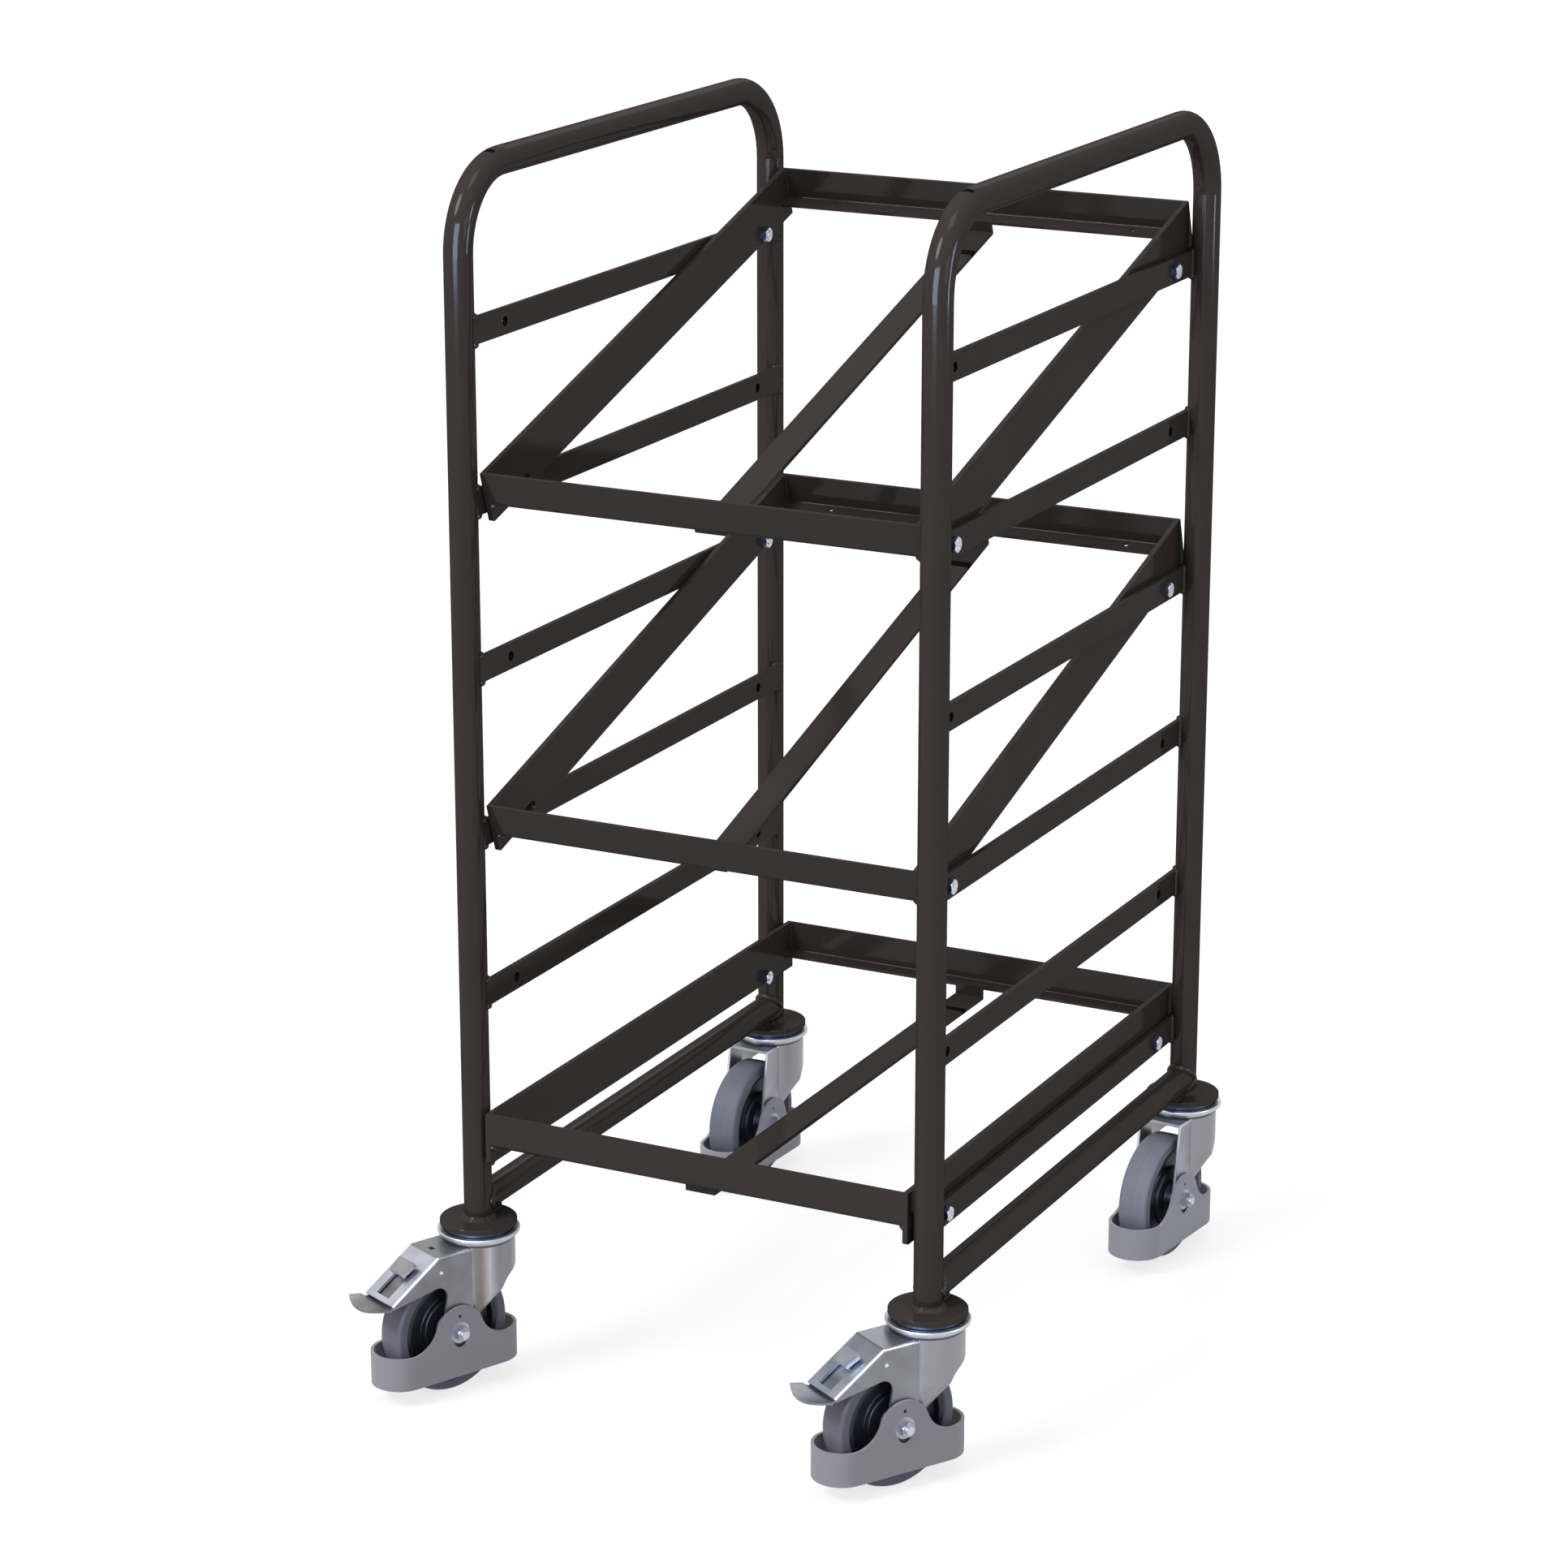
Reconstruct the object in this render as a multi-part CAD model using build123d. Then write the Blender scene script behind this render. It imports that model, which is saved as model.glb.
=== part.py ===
from build123d import *
import math
import os

# Crate trolley: two U-shaped tube sides, three bolted angle shelves and four swivel castors.
# Millimetres. X across the trolley, -Y towards its front, +Z up.
# The origin is on the floor, midway between the four uprights.

# Side frames
tube_diameter = 27.0
tube_wall = 2.0
upright_spacing_x = 471.0
upright_spacing_y = 612.0
overall_height = 1170.0
handle_bend_radius = 75.0
base_tube_gap = 2.5
weld_pad_width = 13.0
weld_pad_reach = 19.5
weld_pad_sink = 1.8

# Castor plates and the fastening of the castors to them
plate_diameter = 73.5
plate_thickness = 5.0
plate_edge_chamfer = 0.8
foot_weld_size = 4.0
plug_length = 30.0
castor_bolt_diameter = 12.0
castor_bolt_engagement = 24.0
castor_bolt_across_flats = 19.0
castor_bolt_head_height = 7.5
castor_bolt_flange_diameter = 32.0
castor_bolt_flange_thickness = 2.5

# Side rails
rail_count = 6
rail_height = 25.0
rail_thickness = 5.0
lowest_rail_above_plate = 56.2
top_rail_below_handle = 129.8
rail_proud_of_tube = 0.7
rail_hole_diameter = 9.0
rail_hole_spacing = 500.0

# Shelves
bar_height = 50.0
bar_thickness = 5.0
bar_corner_radius = 3.0
bar_hole_from_lower_edge = 8.3
bar_end_beyond_hole = 65.0
bar_end_beyond_slot = 43.0
angle_flange_height = 33.5
angle_leg_width = 20.0
angle_thickness = 3.0
angle_bend_radius = 1.5
leg_hole_diameter = 6.5
leg_hole_spacing = 325.0
leg_hole_from_face = 10.0
strip_width = 30.0
strip_thickness = 4.0
strip_below_legs = 8.0
strip_corner_radius = 1.5
shelf_settings = {
    "lower": (0, 0),
    "middle": (3, 2),
    "upper": (rail_count - 1, rail_count - 2),
}

# Shelf bolts
bolt_diameter = 8.0
bolt_across_flats = 13.0
bolt_head_height = 5.3
nut_height = 6.5
bolt_end_beyond_nut = 1.2
washer_diameter = 16.0
washer_thickness = 2.0
head_edge_chamfer = 0.9

# Castor wheel
wheel_diameter = 125.0
tyre_width = 32.0
tyre_thickness = 11.5
tyre_shoulder_radius = 4.5
tyre_crown = 0.5
tyre_side_step = 1.5
tyre_side_radius = 1.0
hub_rim_width = 28.0
hub_side_play = 0.4
hub_web_thickness = 14.0
hub_boss_diameter = 34.0
hub_step_diameter = 62.0
hub_step_width = 25.0
hub_rim_wall = 4.5
hub_draft = 1.5
hub_edge_radius = 1.4
hub_rim_edge_radius = 0.8
castor_trail = 42.5

# Castor fork
castor_height_above_wheel = 31.0
swivel_head_height = 13.5
fork_wall = 2.8
fork_outer_width = 48.0
fork_head_diameter = 69.0
fork_bend_radius = 3.0
fork_boss_radius = 17.0
leg_front_beyond_axle = 4.0
rear_edge_low_behind_axle = 15.5
rear_edge_low_below_axle = 6.5
rear_edge_knee_trail = -9.0
rear_edge_knee_below_top = 34.5
rear_edge_knee_radius = 20.0
rear_edge_rise_angle = 22.6
head_straight_height = 44.5
taper_foot_above_axle = 10.0

# Swivel head
lip_beyond_head = 5.0
lip_below_plate = 4.3
lip_roll_radius = 2.6
lip_lower_inset = 0.4
lip_lower_rise = 1.2
lip_edge_radius = 1.3
ring_wall = 2.5
ring_flare = 1.2
ring_edge_radius = 0.8
race_gap = 1.0
race_inside_head = 1.5
race_thickness = 5.0
king_hole_diameter = 20.0
track_diameter = 46.0
track_height = 2.2

# Axle
axle_diameter = 8.0
spacer_diameter = 15.0
axle_washer_diameter = 21.0
axle_washer_thickness = 2.0
axle_across_flats = 13.0
axle_nut_height = 6.5
axle_head_height = 5.3
axle_end_beyond_nut = 2.6

# Foot guard
guard_wheel_gap = 12.5
guard_pad_thickness = 1.0
guard_wall = 3.0
guard_bottom_below_axle = 44.5
guard_belt_top_below_axle = 12.0
guard_boss_radius = 26.5
guard_sweep_radius = 30.0
guard_pad_radius = 19.0
guard_vent_diameter = 3.6
guard_vent_above_axle = 16.5
guard_notch_radius = 7.0
guard_notch_below_axle = 7.6

# Brake housing of the front castors, drawn in the side view of the castor
slope_angle = 34.2
slope_length = 64.0
slope_above_tyre = 14.8
slope_lip_depth = 4.0
arch_below_tyre_top = 10.5
arch_corner_radius = 11.0
window_start = 22.0
window_end = 58.5
window_width = 20.0
facet_hole_width = 6.5
facet_hole_length = 5.0
facet_hole_before_kink = 7.9

# Brake lever and shoe
lever_travel = 6.0
brake_pivot_along = 7.1
brake_pivot_depth = 14.5
brake_stub_diameter = 5.0
brake_stub_length = 3.0
brake_dimple_diameter = 4.2
brake_dimple_depth = 1.4
lever_thickness = 2.0
lever_below_slope = 4.0
lever_plate_start = 15.0
lever_plate_end = 64.0
lever_side_gap = 0.6
lever_hub_radius = 6.5
lever_corner_radius = 3.0
pedal_start = 54.0
pedal_below_plate = 0.2
pedal_length = 23.0
pedal_beyond_cheek = 2.0
pedal_thickness = 2.2
pedal_root_scoop = 0.2
pedal_bend_scoop = 0.8
pedal_tip_scoop = 6.5
pedal_tip_rise = 1.2
pedal_front_bow = 7.0
pedal_flare_gap = 1.0
pedal_flare_run = 2.0
tab_start = 18.5
tab_end = 35.5
tab_width_top = 27.0
tab_width_bottom = 21.0
tab_thickness = 3.6
tab_upper_radius = 2.0
tab_lower_radius = 1.0
tab_above_slope = 3.6
tab_neck_width = 16.0
tab_neck_start = 24.0
tab_neck_end = 32.5
shoe_width = 26.0
shoe_start = 18.0
shoe_end = 42.0
shoe_tyre_gap = 0.3

# Castors as they stand: how far each is turned about its upright
castor_turns = {"front_left": -24.6, "front_right": -31.0, "rear_left": -3.4, "rear_right": -6.0}
front_castors = ("front_left", "front_right")

# Fits: radial clearance of what turns, and of what a bolt passes through
running_clearance = 0.05
bolt_clearance = 0.1
axial_play = 0.3

# How far a cut runs past the face that it starts or ends at
overshoot = 1.0

# Sizes worked out from the driving ones
tube_radius = tube_diameter / 2
wheel_radius = wheel_diameter / 2
castor_height = wheel_diameter + castor_height_above_wheel
plate_top = castor_height + plate_thickness
handle_height = overall_height - tube_radius
base_tube_height = plate_top + base_tube_gap + tube_radius
lowest_rail_underside = plate_top + lowest_rail_above_plate
rail_room = handle_height - top_rail_below_handle - rail_height - lowest_rail_underside
rail_pitch = rail_room / (rail_count - 1)
rail_inner_x = upright_spacing_x / 2 - tube_radius - rail_proud_of_tube
rail_outer_x = rail_inner_x + rail_thickness
bar_outer_x = rail_inner_x - washer_thickness
bar_inner_x = bar_outer_x - bar_thickness
slot_travel = math.hypot(rail_hole_spacing, rail_pitch) - rail_hole_spacing
bar_top = bar_height - bar_hole_from_lower_edge
bar_front = rail_hole_spacing + slot_travel + bar_end_beyond_slot
fork_top = castor_height - swivel_head_height
fork_half = fork_outer_width / 2
fork_inner_half = fork_half - fork_wall
fork_crease = math.sqrt((fork_head_diameter / 2) ** 2 - fork_half ** 2)
leg_front_at_top = castor_trail + leg_front_beyond_axle
axle_point = (castor_trail, wheel_radius)
lip_radius = fork_head_diameter / 2 + lip_beyond_head
race_radius = fork_head_diameter / 2 - race_inside_head
guard_half = fork_half + guard_pad_thickness + guard_wall
guard_length = wheel_diameter + 2 * (guard_wheel_gap + guard_wall)
slope = math.radians(slope_angle)
slope_out = (math.cos(slope), -math.sin(slope))
slope_up = (math.sin(slope), math.cos(slope))
kink_trail = castor_trail + (
    wheel_radius + slope_above_tyre - (fork_top - wheel_radius) * slope_up[1]
) / slope_up[0]
castor_places = {
    "front_left": (-upright_spacing_x / 2, -upright_spacing_y / 2),
    "front_right": (upright_spacing_x / 2, -upright_spacing_y / 2),
    "rear_left": (-upright_spacing_x / 2, upright_spacing_y / 2),
    "rear_right": (upright_spacing_x / 2, upright_spacing_y / 2),
}

# Side view of a castor: first coordinate along its trail, second up
side_view = Plane(origin=(0, 0, 0), x_dir=(0, -1, 0), z_dir=(-1, 0, 0))


def outline(corners):
    """Closed face from corners given as (first, second, corner radius)."""
    points = [(first, second) for first, second, _ in corners]
    radii = [radius for _, _, radius in corners]
    return make_face(FilletPolyline(*points, radius=radii, close=True))


def rod(radius, start, end):
    """Round rod between two points."""
    run = Vector(*end) - Vector(*start)
    return extrude(Plane(origin=start, z_dir=run) * Circle(radius), run.length)


def hexagon(across_flats, start, end, chamfer_size=0.0):
    """Hexagonal head or nut from its seat to its outer face, with a turned outer edge."""
    run = Vector(*end) - Vector(*start)
    corner_radius = across_flats / math.sqrt(3)
    head = extrude(Plane(origin=start, z_dir=run) * RegularPolygon(corner_radius, 6), run.length)
    if chamfer_size > 0:
        blank = extrude(Plane(origin=start, z_dir=run) * Circle(corner_radius), run.length)
        outer_rim = blank.edges().filter_by(GeomType.CIRCLE).sort_by(
            lambda edge: (edge.center() - Vector(*start)).length
        )[-1]
        head = head & chamfer(outer_rim, chamfer_size)
    return head


def slope_point(along, up=0.0):
    """Side view point on the brake housing's slope, up from its outer face."""
    return (
        kink_trail + along * slope_out[0] + up * slope_up[0],
        fork_top + along * slope_out[1] + up * slope_up[1],
    )


def side_tube(side):
    """One side's upright, handle and upright, bent from a single tube."""
    x = side * upright_spacing_x / 2
    half_y = upright_spacing_y / 2
    path = FilletPolyline(
        (x, -half_y, plate_top),
        (x, -half_y, handle_height),
        (x, half_y, handle_height),
        (x, half_y, plate_top),
        radius=handle_bend_radius,
    )
    foot = Plane(origin=(x, -half_y, plate_top), z_dir=(0, 0, 1))
    section = Circle(tube_radius) - Circle(tube_radius - tube_wall)
    return sweep(foot * section, path=path)


def uprights_solid(side):
    """The space that one side's uprights fill, for coping what meets them."""
    x = side * upright_spacing_x / 2
    half_y = upright_spacing_y / 2
    return [
        rod(tube_radius, (x, y, plate_top), (x, y, handle_height)) for y in (-half_y, half_y)
    ]


def base_tube(side):
    """Lower side tube, coped on to both uprights, with the weld pads under its ends."""
    x = side * upright_spacing_x / 2
    half_y = upright_spacing_y / 2
    ends = (x, -half_y, base_tube_height), (x, half_y, base_tube_height)
    tube = rod(tube_radius, *ends) - rod(tube_radius - tube_wall, *ends)
    pad_top = base_tube_height - tube_radius + weld_pad_sink
    pad_height = pad_top - plate_top
    pad_length = tube_radius + weld_pad_reach
    for end in (-1, 1):
        pad = Box(weld_pad_width, pad_length, pad_height)
        y = end * (half_y - pad_length / 2)
        tube += Pos(x, y, plate_top + pad_height / 2) * pad
    for upright in uprights_solid(side):
        tube -= upright
    return tube.solids().sort_by(lambda solid: solid.volume)[-1]


def rail_underside(index):
    """Height of the lower edge of one of the rails, counted from the lowest."""
    return lowest_rail_underside + index * rail_pitch


def rail(side, index):
    """Flat bar between the uprights, with the two holes for shelf bolts."""
    middle = rail_underside(index) + rail_height / 2
    x = side * (rail_inner_x + rail_thickness / 2)
    bar = Pos(x, 0, middle) * Box(rail_thickness, upright_spacing_y, rail_height)
    for y in (-rail_hole_spacing / 2, rail_hole_spacing / 2):
        reach = side * rail_thickness
        bar -= rod(rail_hole_diameter / 2, (x - reach, y, middle), (x + reach, y, middle))
    for upright in uprights_solid(side):
        bar -= upright
    return bar.solids().sort_by(lambda solid: solid.volume)[-1]


def castor_plate(place):
    """Round plate under an upright, with its weld ring and the threaded plug's seat."""
    x, y = castor_places[place]
    disc = Pos(0, 0, castor_height) * Cylinder(
        plate_diameter / 2, plate_thickness, align=(Align.CENTER, Align.CENTER, Align.MIN)
    )
    top_rim = disc.edges().filter_by(GeomType.CIRCLE).sort_by(Axis.Z)[-1]
    disc = chamfer(top_rim, plate_edge_chamfer)
    weld = Pos(0, 0, plate_top) * Cone(
        tube_radius + foot_weld_size,
        tube_radius,
        foot_weld_size,
        align=(Align.CENTER, Align.CENTER, Align.MIN),
    )
    bolt_hole = rod(
        castor_bolt_diameter / 2 + bolt_clearance,
        (0, 0, castor_height - overshoot),
        (0, 0, plate_top + overshoot),
    )
    upright = rod(tube_radius, (0, 0, plate_top), (0, 0, plate_top + 2 * foot_weld_size))
    plate = Pos(x, y, 0) * (disc + weld - bolt_hole - upright)
    inward = -math.copysign(1, y)
    tube_end = rod(
        tube_radius, (x, y, base_tube_height), (x, y + inward * plate_diameter, base_tube_height)
    )
    pad_length = tube_radius + weld_pad_reach
    pad = Pos(x, y + inward * pad_length / 2, plate_top + base_tube_gap) * Box(
        weld_pad_width, pad_length, 2 * base_tube_gap
    )
    return plate - tube_end - pad


def threaded_plug(place):
    """Plug inside the foot of an upright that the castor bolt screws into."""
    x, y = castor_places[place]
    plug = rod(tube_radius - tube_wall, (x, y, plate_top), (x, y, plate_top + plug_length))
    bore = rod(
        castor_bolt_diameter / 2,
        (x, y, plate_top - overshoot),
        (x, y, plate_top + plug_length + overshoot),
    )
    return plug - bore


def castor_bolt(place):
    """Flanged bolt through the swivel head into the plug."""
    x, y = castor_places[place]
    seat = fork_top - fork_wall - axial_play
    flange_foot = seat - castor_bolt_flange_thickness
    head_foot = flange_foot - castor_bolt_head_height
    end = plate_top + castor_bolt_engagement
    shank = rod(castor_bolt_diameter / 2, (x, y, flange_foot), (x, y, end))
    flange = rod(castor_bolt_flange_diameter / 2, (x, y, flange_foot), (x, y, seat))
    head = hexagon(
        castor_bolt_across_flats, (x, y, flange_foot), (x, y, head_foot), head_edge_chamfer
    )
    return shank + flange + head


def top_race(place):
    """Fixed upper race of the swivel head, with the sleeve that the fork turns on."""
    x, y = castor_places[place]
    underside = castor_height - race_thickness
    sleeve_foot = fork_top - fork_wall - axial_play
    race = rod(race_radius, (0, 0, underside), (0, 0, castor_height))
    race += rod(king_hole_diameter / 2 - running_clearance, (0, 0, sleeve_foot), (0, 0, castor_height))
    track = Pos(0, 0, underside) * Torus(track_diameter / 2, track_height)
    race -= track
    race -= rod(
        castor_bolt_diameter / 2 + bolt_clearance,
        (0, 0, sleeve_foot - overshoot),
        (0, 0, castor_height + overshoot),
    )
    return Pos(x, y, 0) * race


def shelf_place(name):
    """Place and tilt of one shelf from the rails that its bolts go through."""
    rear_rail, front_rail = shelf_settings[name]
    rear_height = rail_underside(rear_rail) + rail_height / 2
    drop = (rear_rail - front_rail) * rail_pitch
    tilt = math.degrees(math.atan2(drop, rail_hole_spacing))
    return Pos(0, rail_hole_spacing / 2, rear_height) * Rot(tilt, 0, 0)


def side_bar(side):
    """Flat side bar of a shelf: round rear hole, long front slot, round lower front corner."""
    lower, rear, front = -bar_hole_from_lower_edge, bar_end_beyond_hole, -bar_front
    face = outline(
        [
            (-rear, lower, 0),
            (-front, lower, bar_corner_radius),
            (-front, bar_top, 0),
            (-rear, bar_top, 0),
        ]
    )
    face -= Circle(rail_hole_diameter / 2)
    slot_middle = rail_hole_spacing + slot_travel / 2
    face -= Pos(slot_middle, 0) * SlotCenterToCenter(slot_travel, rail_hole_diameter)
    x = bar_inner_x if side > 0 else -bar_outer_x
    bar = extrude(side_view * face, -bar_thickness)
    return Pos(x, 0, 0) * bar


def cross_angle(end):
    """Bent angle between the side bars at the front (-1) or rear (1) of a shelf."""
    face_y = bar_end_beyond_hole if end > 0 else -bar_front
    foot = bar_top - angle_flange_height
    inner = angle_thickness
    section = outline(
        [
            (0, bar_top, 0),
            (0, foot, angle_bend_radius + angle_thickness),
            (angle_leg_width, foot, 0),
            (angle_leg_width, foot + inner, 0),
            (inner, foot + inner, angle_bend_radius),
            (inner, bar_top, 0),
        ]
    )
    start = Plane(origin=(end * bar_inner_x, face_y, 0), x_dir=(0, -end, 0), z_dir=(-end, 0, 0))
    angle = extrude(start * section, 2 * bar_inner_x)
    for x in (-leg_hole_spacing / 2, leg_hole_spacing / 2):
        y = face_y - end * leg_hole_from_face
        angle -= rod(
            leg_hole_diameter / 2, (x, y, foot - overshoot), (x, y, foot + inner + overshoot)
        )
    return angle


def centre_strip():
    """Flat strip under the crates, bent up at both ends to the undersides of the angle legs."""
    legs = bar_top - angle_flange_height
    top = legs - strip_below_legs
    bottom = top - strip_thickness
    front = bar_front - angle_leg_width + strip_thickness
    rear = bar_end_beyond_hole - angle_leg_width + strip_thickness
    profile = outline(
        [
            (-rear, legs, 0),
            (-rear, bottom, strip_corner_radius),
            (front, bottom, strip_corner_radius),
            (front, legs, 0),
            (front - strip_thickness, legs, 0),
            (front - strip_thickness, top, 0),
            (-rear + strip_thickness, top, 0),
            (-rear + strip_thickness, legs, 0),
        ]
    )
    return extrude(side_view * profile, strip_width / 2, both=True)


def bolt_places(name):
    """Heights and lengthwise places of one shelf's bolts."""
    rear_rail, front_rail = shelf_settings[name]
    half = rail_hole_spacing / 2
    return [
        (half, rail_underside(rear_rail) + rail_height / 2),
        (-half, rail_underside(front_rail) + rail_height / 2),
    ]


def shelf_bolt(side, y, z):
    """Hexagon bolt through a rail and a side bar, its head outside."""
    end = bar_inner_x - nut_height - bolt_end_beyond_nut
    shank = rod(bolt_diameter / 2, (side * rail_outer_x, y, z), (side * end, y, z))
    head_outer = side * (rail_outer_x + bolt_head_height)
    head = hexagon(
        bolt_across_flats, (side * rail_outer_x, y, z), (head_outer, y, z), head_edge_chamfer
    )
    return shank + head


def shelf_spacer(side, y, z):
    """Washer round a shelf bolt between its rail and its side bar."""
    ends = (side * rail_inner_x, y, z), (side * bar_outer_x, y, z)
    return rod(washer_diameter / 2, *ends) - rod(bolt_diameter / 2 + bolt_clearance, *ends)


def shelf_nut(side, y, z):
    """Nut on the inner end of a shelf bolt, against the side bar."""
    outer_face = bar_inner_x - nut_height
    ends = (side * bar_inner_x, y, z), (side * outer_face, y, z)
    return hexagon(bolt_across_flats, *ends, head_edge_chamfer) - rod(bolt_diameter / 2, *ends)


def d_section(height, half, front, rear_point):
    """Plan section of the fork: flat cheeks to the front and a round back."""
    edges = [
        Line((fork_crease, half), (front, half)),
        Line((front, half), (front, -half)),
        Line((front, -half), (fork_crease, -half)),
        ThreePointArc((fork_crease, -half), (rear_point, 0), (fork_crease, half)),
    ]
    plan = Plane(origin=(0, 0, height), x_dir=(0, -1, 0), z_dir=(0, 0, 1))
    return plan * make_face(edges)


def fork_body(inset, top, front):
    """Cheeks and round head of the fork, drawn inwards by the inset."""
    half = fork_half - inset
    head_radius = fork_head_diameter / 2 - inset
    rear = fork_crease - math.sqrt(head_radius ** 2 - half ** 2)
    foot_rear = fork_crease - half
    knee = fork_top - head_straight_height
    foot = wheel_radius - fork_boss_radius - inset - overshoot
    sections = [
        d_section(foot, half, front, foot_rear),
        d_section(wheel_radius + taper_foot_above_axle, half, front, foot_rear),
        d_section(knee, half, front, rear - head_radius),
        d_section(top, half, front, rear - head_radius),
    ]
    return loft(sections, ruled=True)


def leg_front_at(height):
    """Trail of the leg's front edge at a height, on the line from the top to the boss."""
    rise = (height - wheel_radius) / (fork_top - wheel_radius)
    low = castor_trail + fork_boss_radius
    return low + (leg_front_at_top - low) * rise


def rear_edge():
    """Side view corners of the fork's swept rear edge, from the boss up to the head."""
    low = (castor_trail - rear_edge_low_behind_axle, wheel_radius - rear_edge_low_below_axle)
    knee = (rear_edge_knee_trail, fork_top - rear_edge_knee_below_top)
    run = fork_head_diameter / 2
    high = (knee[0] - run, knee[1] + run * math.tan(math.radians(rear_edge_rise_angle)))
    return [
        (*low, 0),
        (*knee, rear_edge_knee_radius),
        (*high, 0),
        (high[0], fork_top, 0),
    ]


def fork_profile(braked):
    """Side view of a fork; a braked one reaches forward as the brake housing."""
    low_front = (castor_trail + fork_boss_radius, wheel_radius, 0)
    corners = rear_edge()
    if braked:
        tip = slope_point(slope_length)
        return_point = slope_point(slope_length, -slope_lip_depth)
        apex_height = wheel_diameter - arch_below_tyre_top
        corners += [
            (kink_trail, fork_top, 0),
            (*tip, 0),
            (*return_point, 0),
            (leg_front_at(apex_height), apex_height, arch_corner_radius),
        ]
    else:
        corners += [(leg_front_at_top, fork_top, 0)]
    corners += [low_front]
    return outline(corners) + Pos(*axle_point) * Circle(fork_boss_radius)


def fork_hollow(braked):
    """Space inside a fork, one wall in from its top and cheeks."""
    ceiling = fork_top - fork_wall
    reach = fork_outer_width * 4
    void = fork_body(fork_wall, ceiling, reach)
    if braked:
        inner_kink = kink_trail - fork_wall * math.tan(slope / 2)
        far = slope_point(3 * slope_length, -fork_wall)
        below = outline(
            [
                (-reach, 0, 0),
                (far[0], 0, 0),
                (far[0], far[1], 0),
                (inner_kink, ceiling, 0),
                (-reach, ceiling, 0),
            ]
        )
        void &= extrude(side_view * below, reach, both=True)
    return void


def fork(place):
    """Pressed fork: round swivel head, two legs and, at the front, the brake housing."""
    braked = place in front_castors
    reach = kink_trail + slope_length if braked else fork_outer_width * 2
    shell = fork_body(0, fork_top, reach)
    shell &= extrude(side_view * fork_profile(braked), fork_head_diameter, both=True)
    shell = rounded_top_edges(shell, braked)
    shell -= fork_hollow(braked)
    shell -= rod(
        king_hole_diameter / 2, (0, 0, fork_top - 2 * fork_wall), (0, 0, fork_top + overshoot)
    )
    across = fork_outer_width
    y, z = -castor_trail, wheel_radius
    shell -= rod(axle_diameter / 2 + running_clearance, (-across, y, z), (across, y, z))
    if braked:
        shell -= brake_window()
        shell = brake_stubs(shell)
    if place == "front_left":
        shell -= Pos(0, facet_hole_before_kink - kink_trail, fork_top) * Box(
            facet_hole_width, facet_hole_length, 4 * fork_wall
        )
    return shell.solids().sort_by(lambda solid: solid.volume)[-1]


def bend_cutter(start, along, length):
    """What a rounded bend leaves out of the square corners along both cheeks."""
    corner = Rectangle(2 * fork_bend_radius, 2 * fork_bend_radius)
    corner -= Pos(-fork_bend_radius, -fork_bend_radius) * Circle(fork_bend_radius)
    section = Plane(origin=start, x_dir=(1, 0, 0), z_dir=along)
    cutter = None
    for side in (0, 180):
        one = section * Pos(math.cos(math.radians(side)) * fork_half, 0) * Rot(0, side, 0) * corner
        prism = extrude(one, length, dir=along)
        cutter = prism if cutter is None else cutter + prism
    return cutter


def rounded_top_edges(shell, braked):
    """Round the bends where the top of the pressing turns down into the cheeks."""
    level_length = kink_trail + slope_length
    shell -= bend_cutter((0, -fork_crease, fork_top), (0, -1, 0), level_length)
    if braked:
        before = slope_point(-2 * fork_bend_radius)
        down = (0, -slope_out[0], slope_out[1])
        shell -= bend_cutter((0, -before[0], before[1]), down, 2 * slope_length)
    return shell


def brake_pivot():
    """Side view point that the brake lever turns on."""
    return slope_point(brake_pivot_along, -brake_pivot_depth)


def brake_window():
    """Cut through the housing's slope that shows the lever plate."""
    window = outline(
        [
            (*slope_point(window_start, fork_wall), 0),
            (*slope_point(window_end, fork_wall), 0),
            (*slope_point(window_end, -2 * fork_wall), 0),
            (*slope_point(window_start, -2 * fork_wall), 0),
        ]
    )
    return extrude(side_view * window, window_width / 2, both=True)


def brake_stubs(shell):
    """Stubs pressed inwards from both cheeks, on which the lever turns."""
    trail, z = brake_pivot()
    y = -trail
    for side in (-1, 1):
        inner = side * (fork_inner_half - brake_stub_length)
        outer = side * (fork_half - brake_dimple_depth)
        shell += rod(brake_stub_diameter / 2, (side * fork_inner_half, y, z), (inner, y, z))
        shell -= rod(brake_dimple_diameter / 2, (outer, y, z), (side * fork_outer_width, y, z))
    return shell


def swivel_ring():
    """Lower race on the fork: a cup with a rolled lip round the swivel head."""
    floor = fork_top
    roll_height = castor_height - lip_below_plate - lip_roll_radius
    seat = fork_head_diameter / 2
    inner = race_radius + race_gap
    profile = outline(
        [
            (king_hole_diameter / 2, floor, 0),
            (seat, floor, 0),
            (seat + ring_flare, roll_height - lip_roll_radius, ring_edge_radius),
            (lip_radius - lip_lower_inset, roll_height - lip_lower_rise, lip_lower_rise),
            (lip_radius, roll_height + lip_roll_radius, lip_edge_radius),
            (inner, roll_height + lip_roll_radius, ring_edge_radius),
            (inner, floor + ring_wall, ring_edge_radius),
            (king_hole_diameter / 2, floor + ring_wall, 0),
        ]
    )
    ring = revolve(Plane.XZ * profile, Axis.Z)
    track = Pos(0, 0, floor + ring_wall) * Torus(track_diameter / 2, track_height)
    hub = rod(track_diameter / 2 + 2 * track_height, (0, 0, floor), (0, 0, castor_height))
    return ring + (track & hub)


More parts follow.
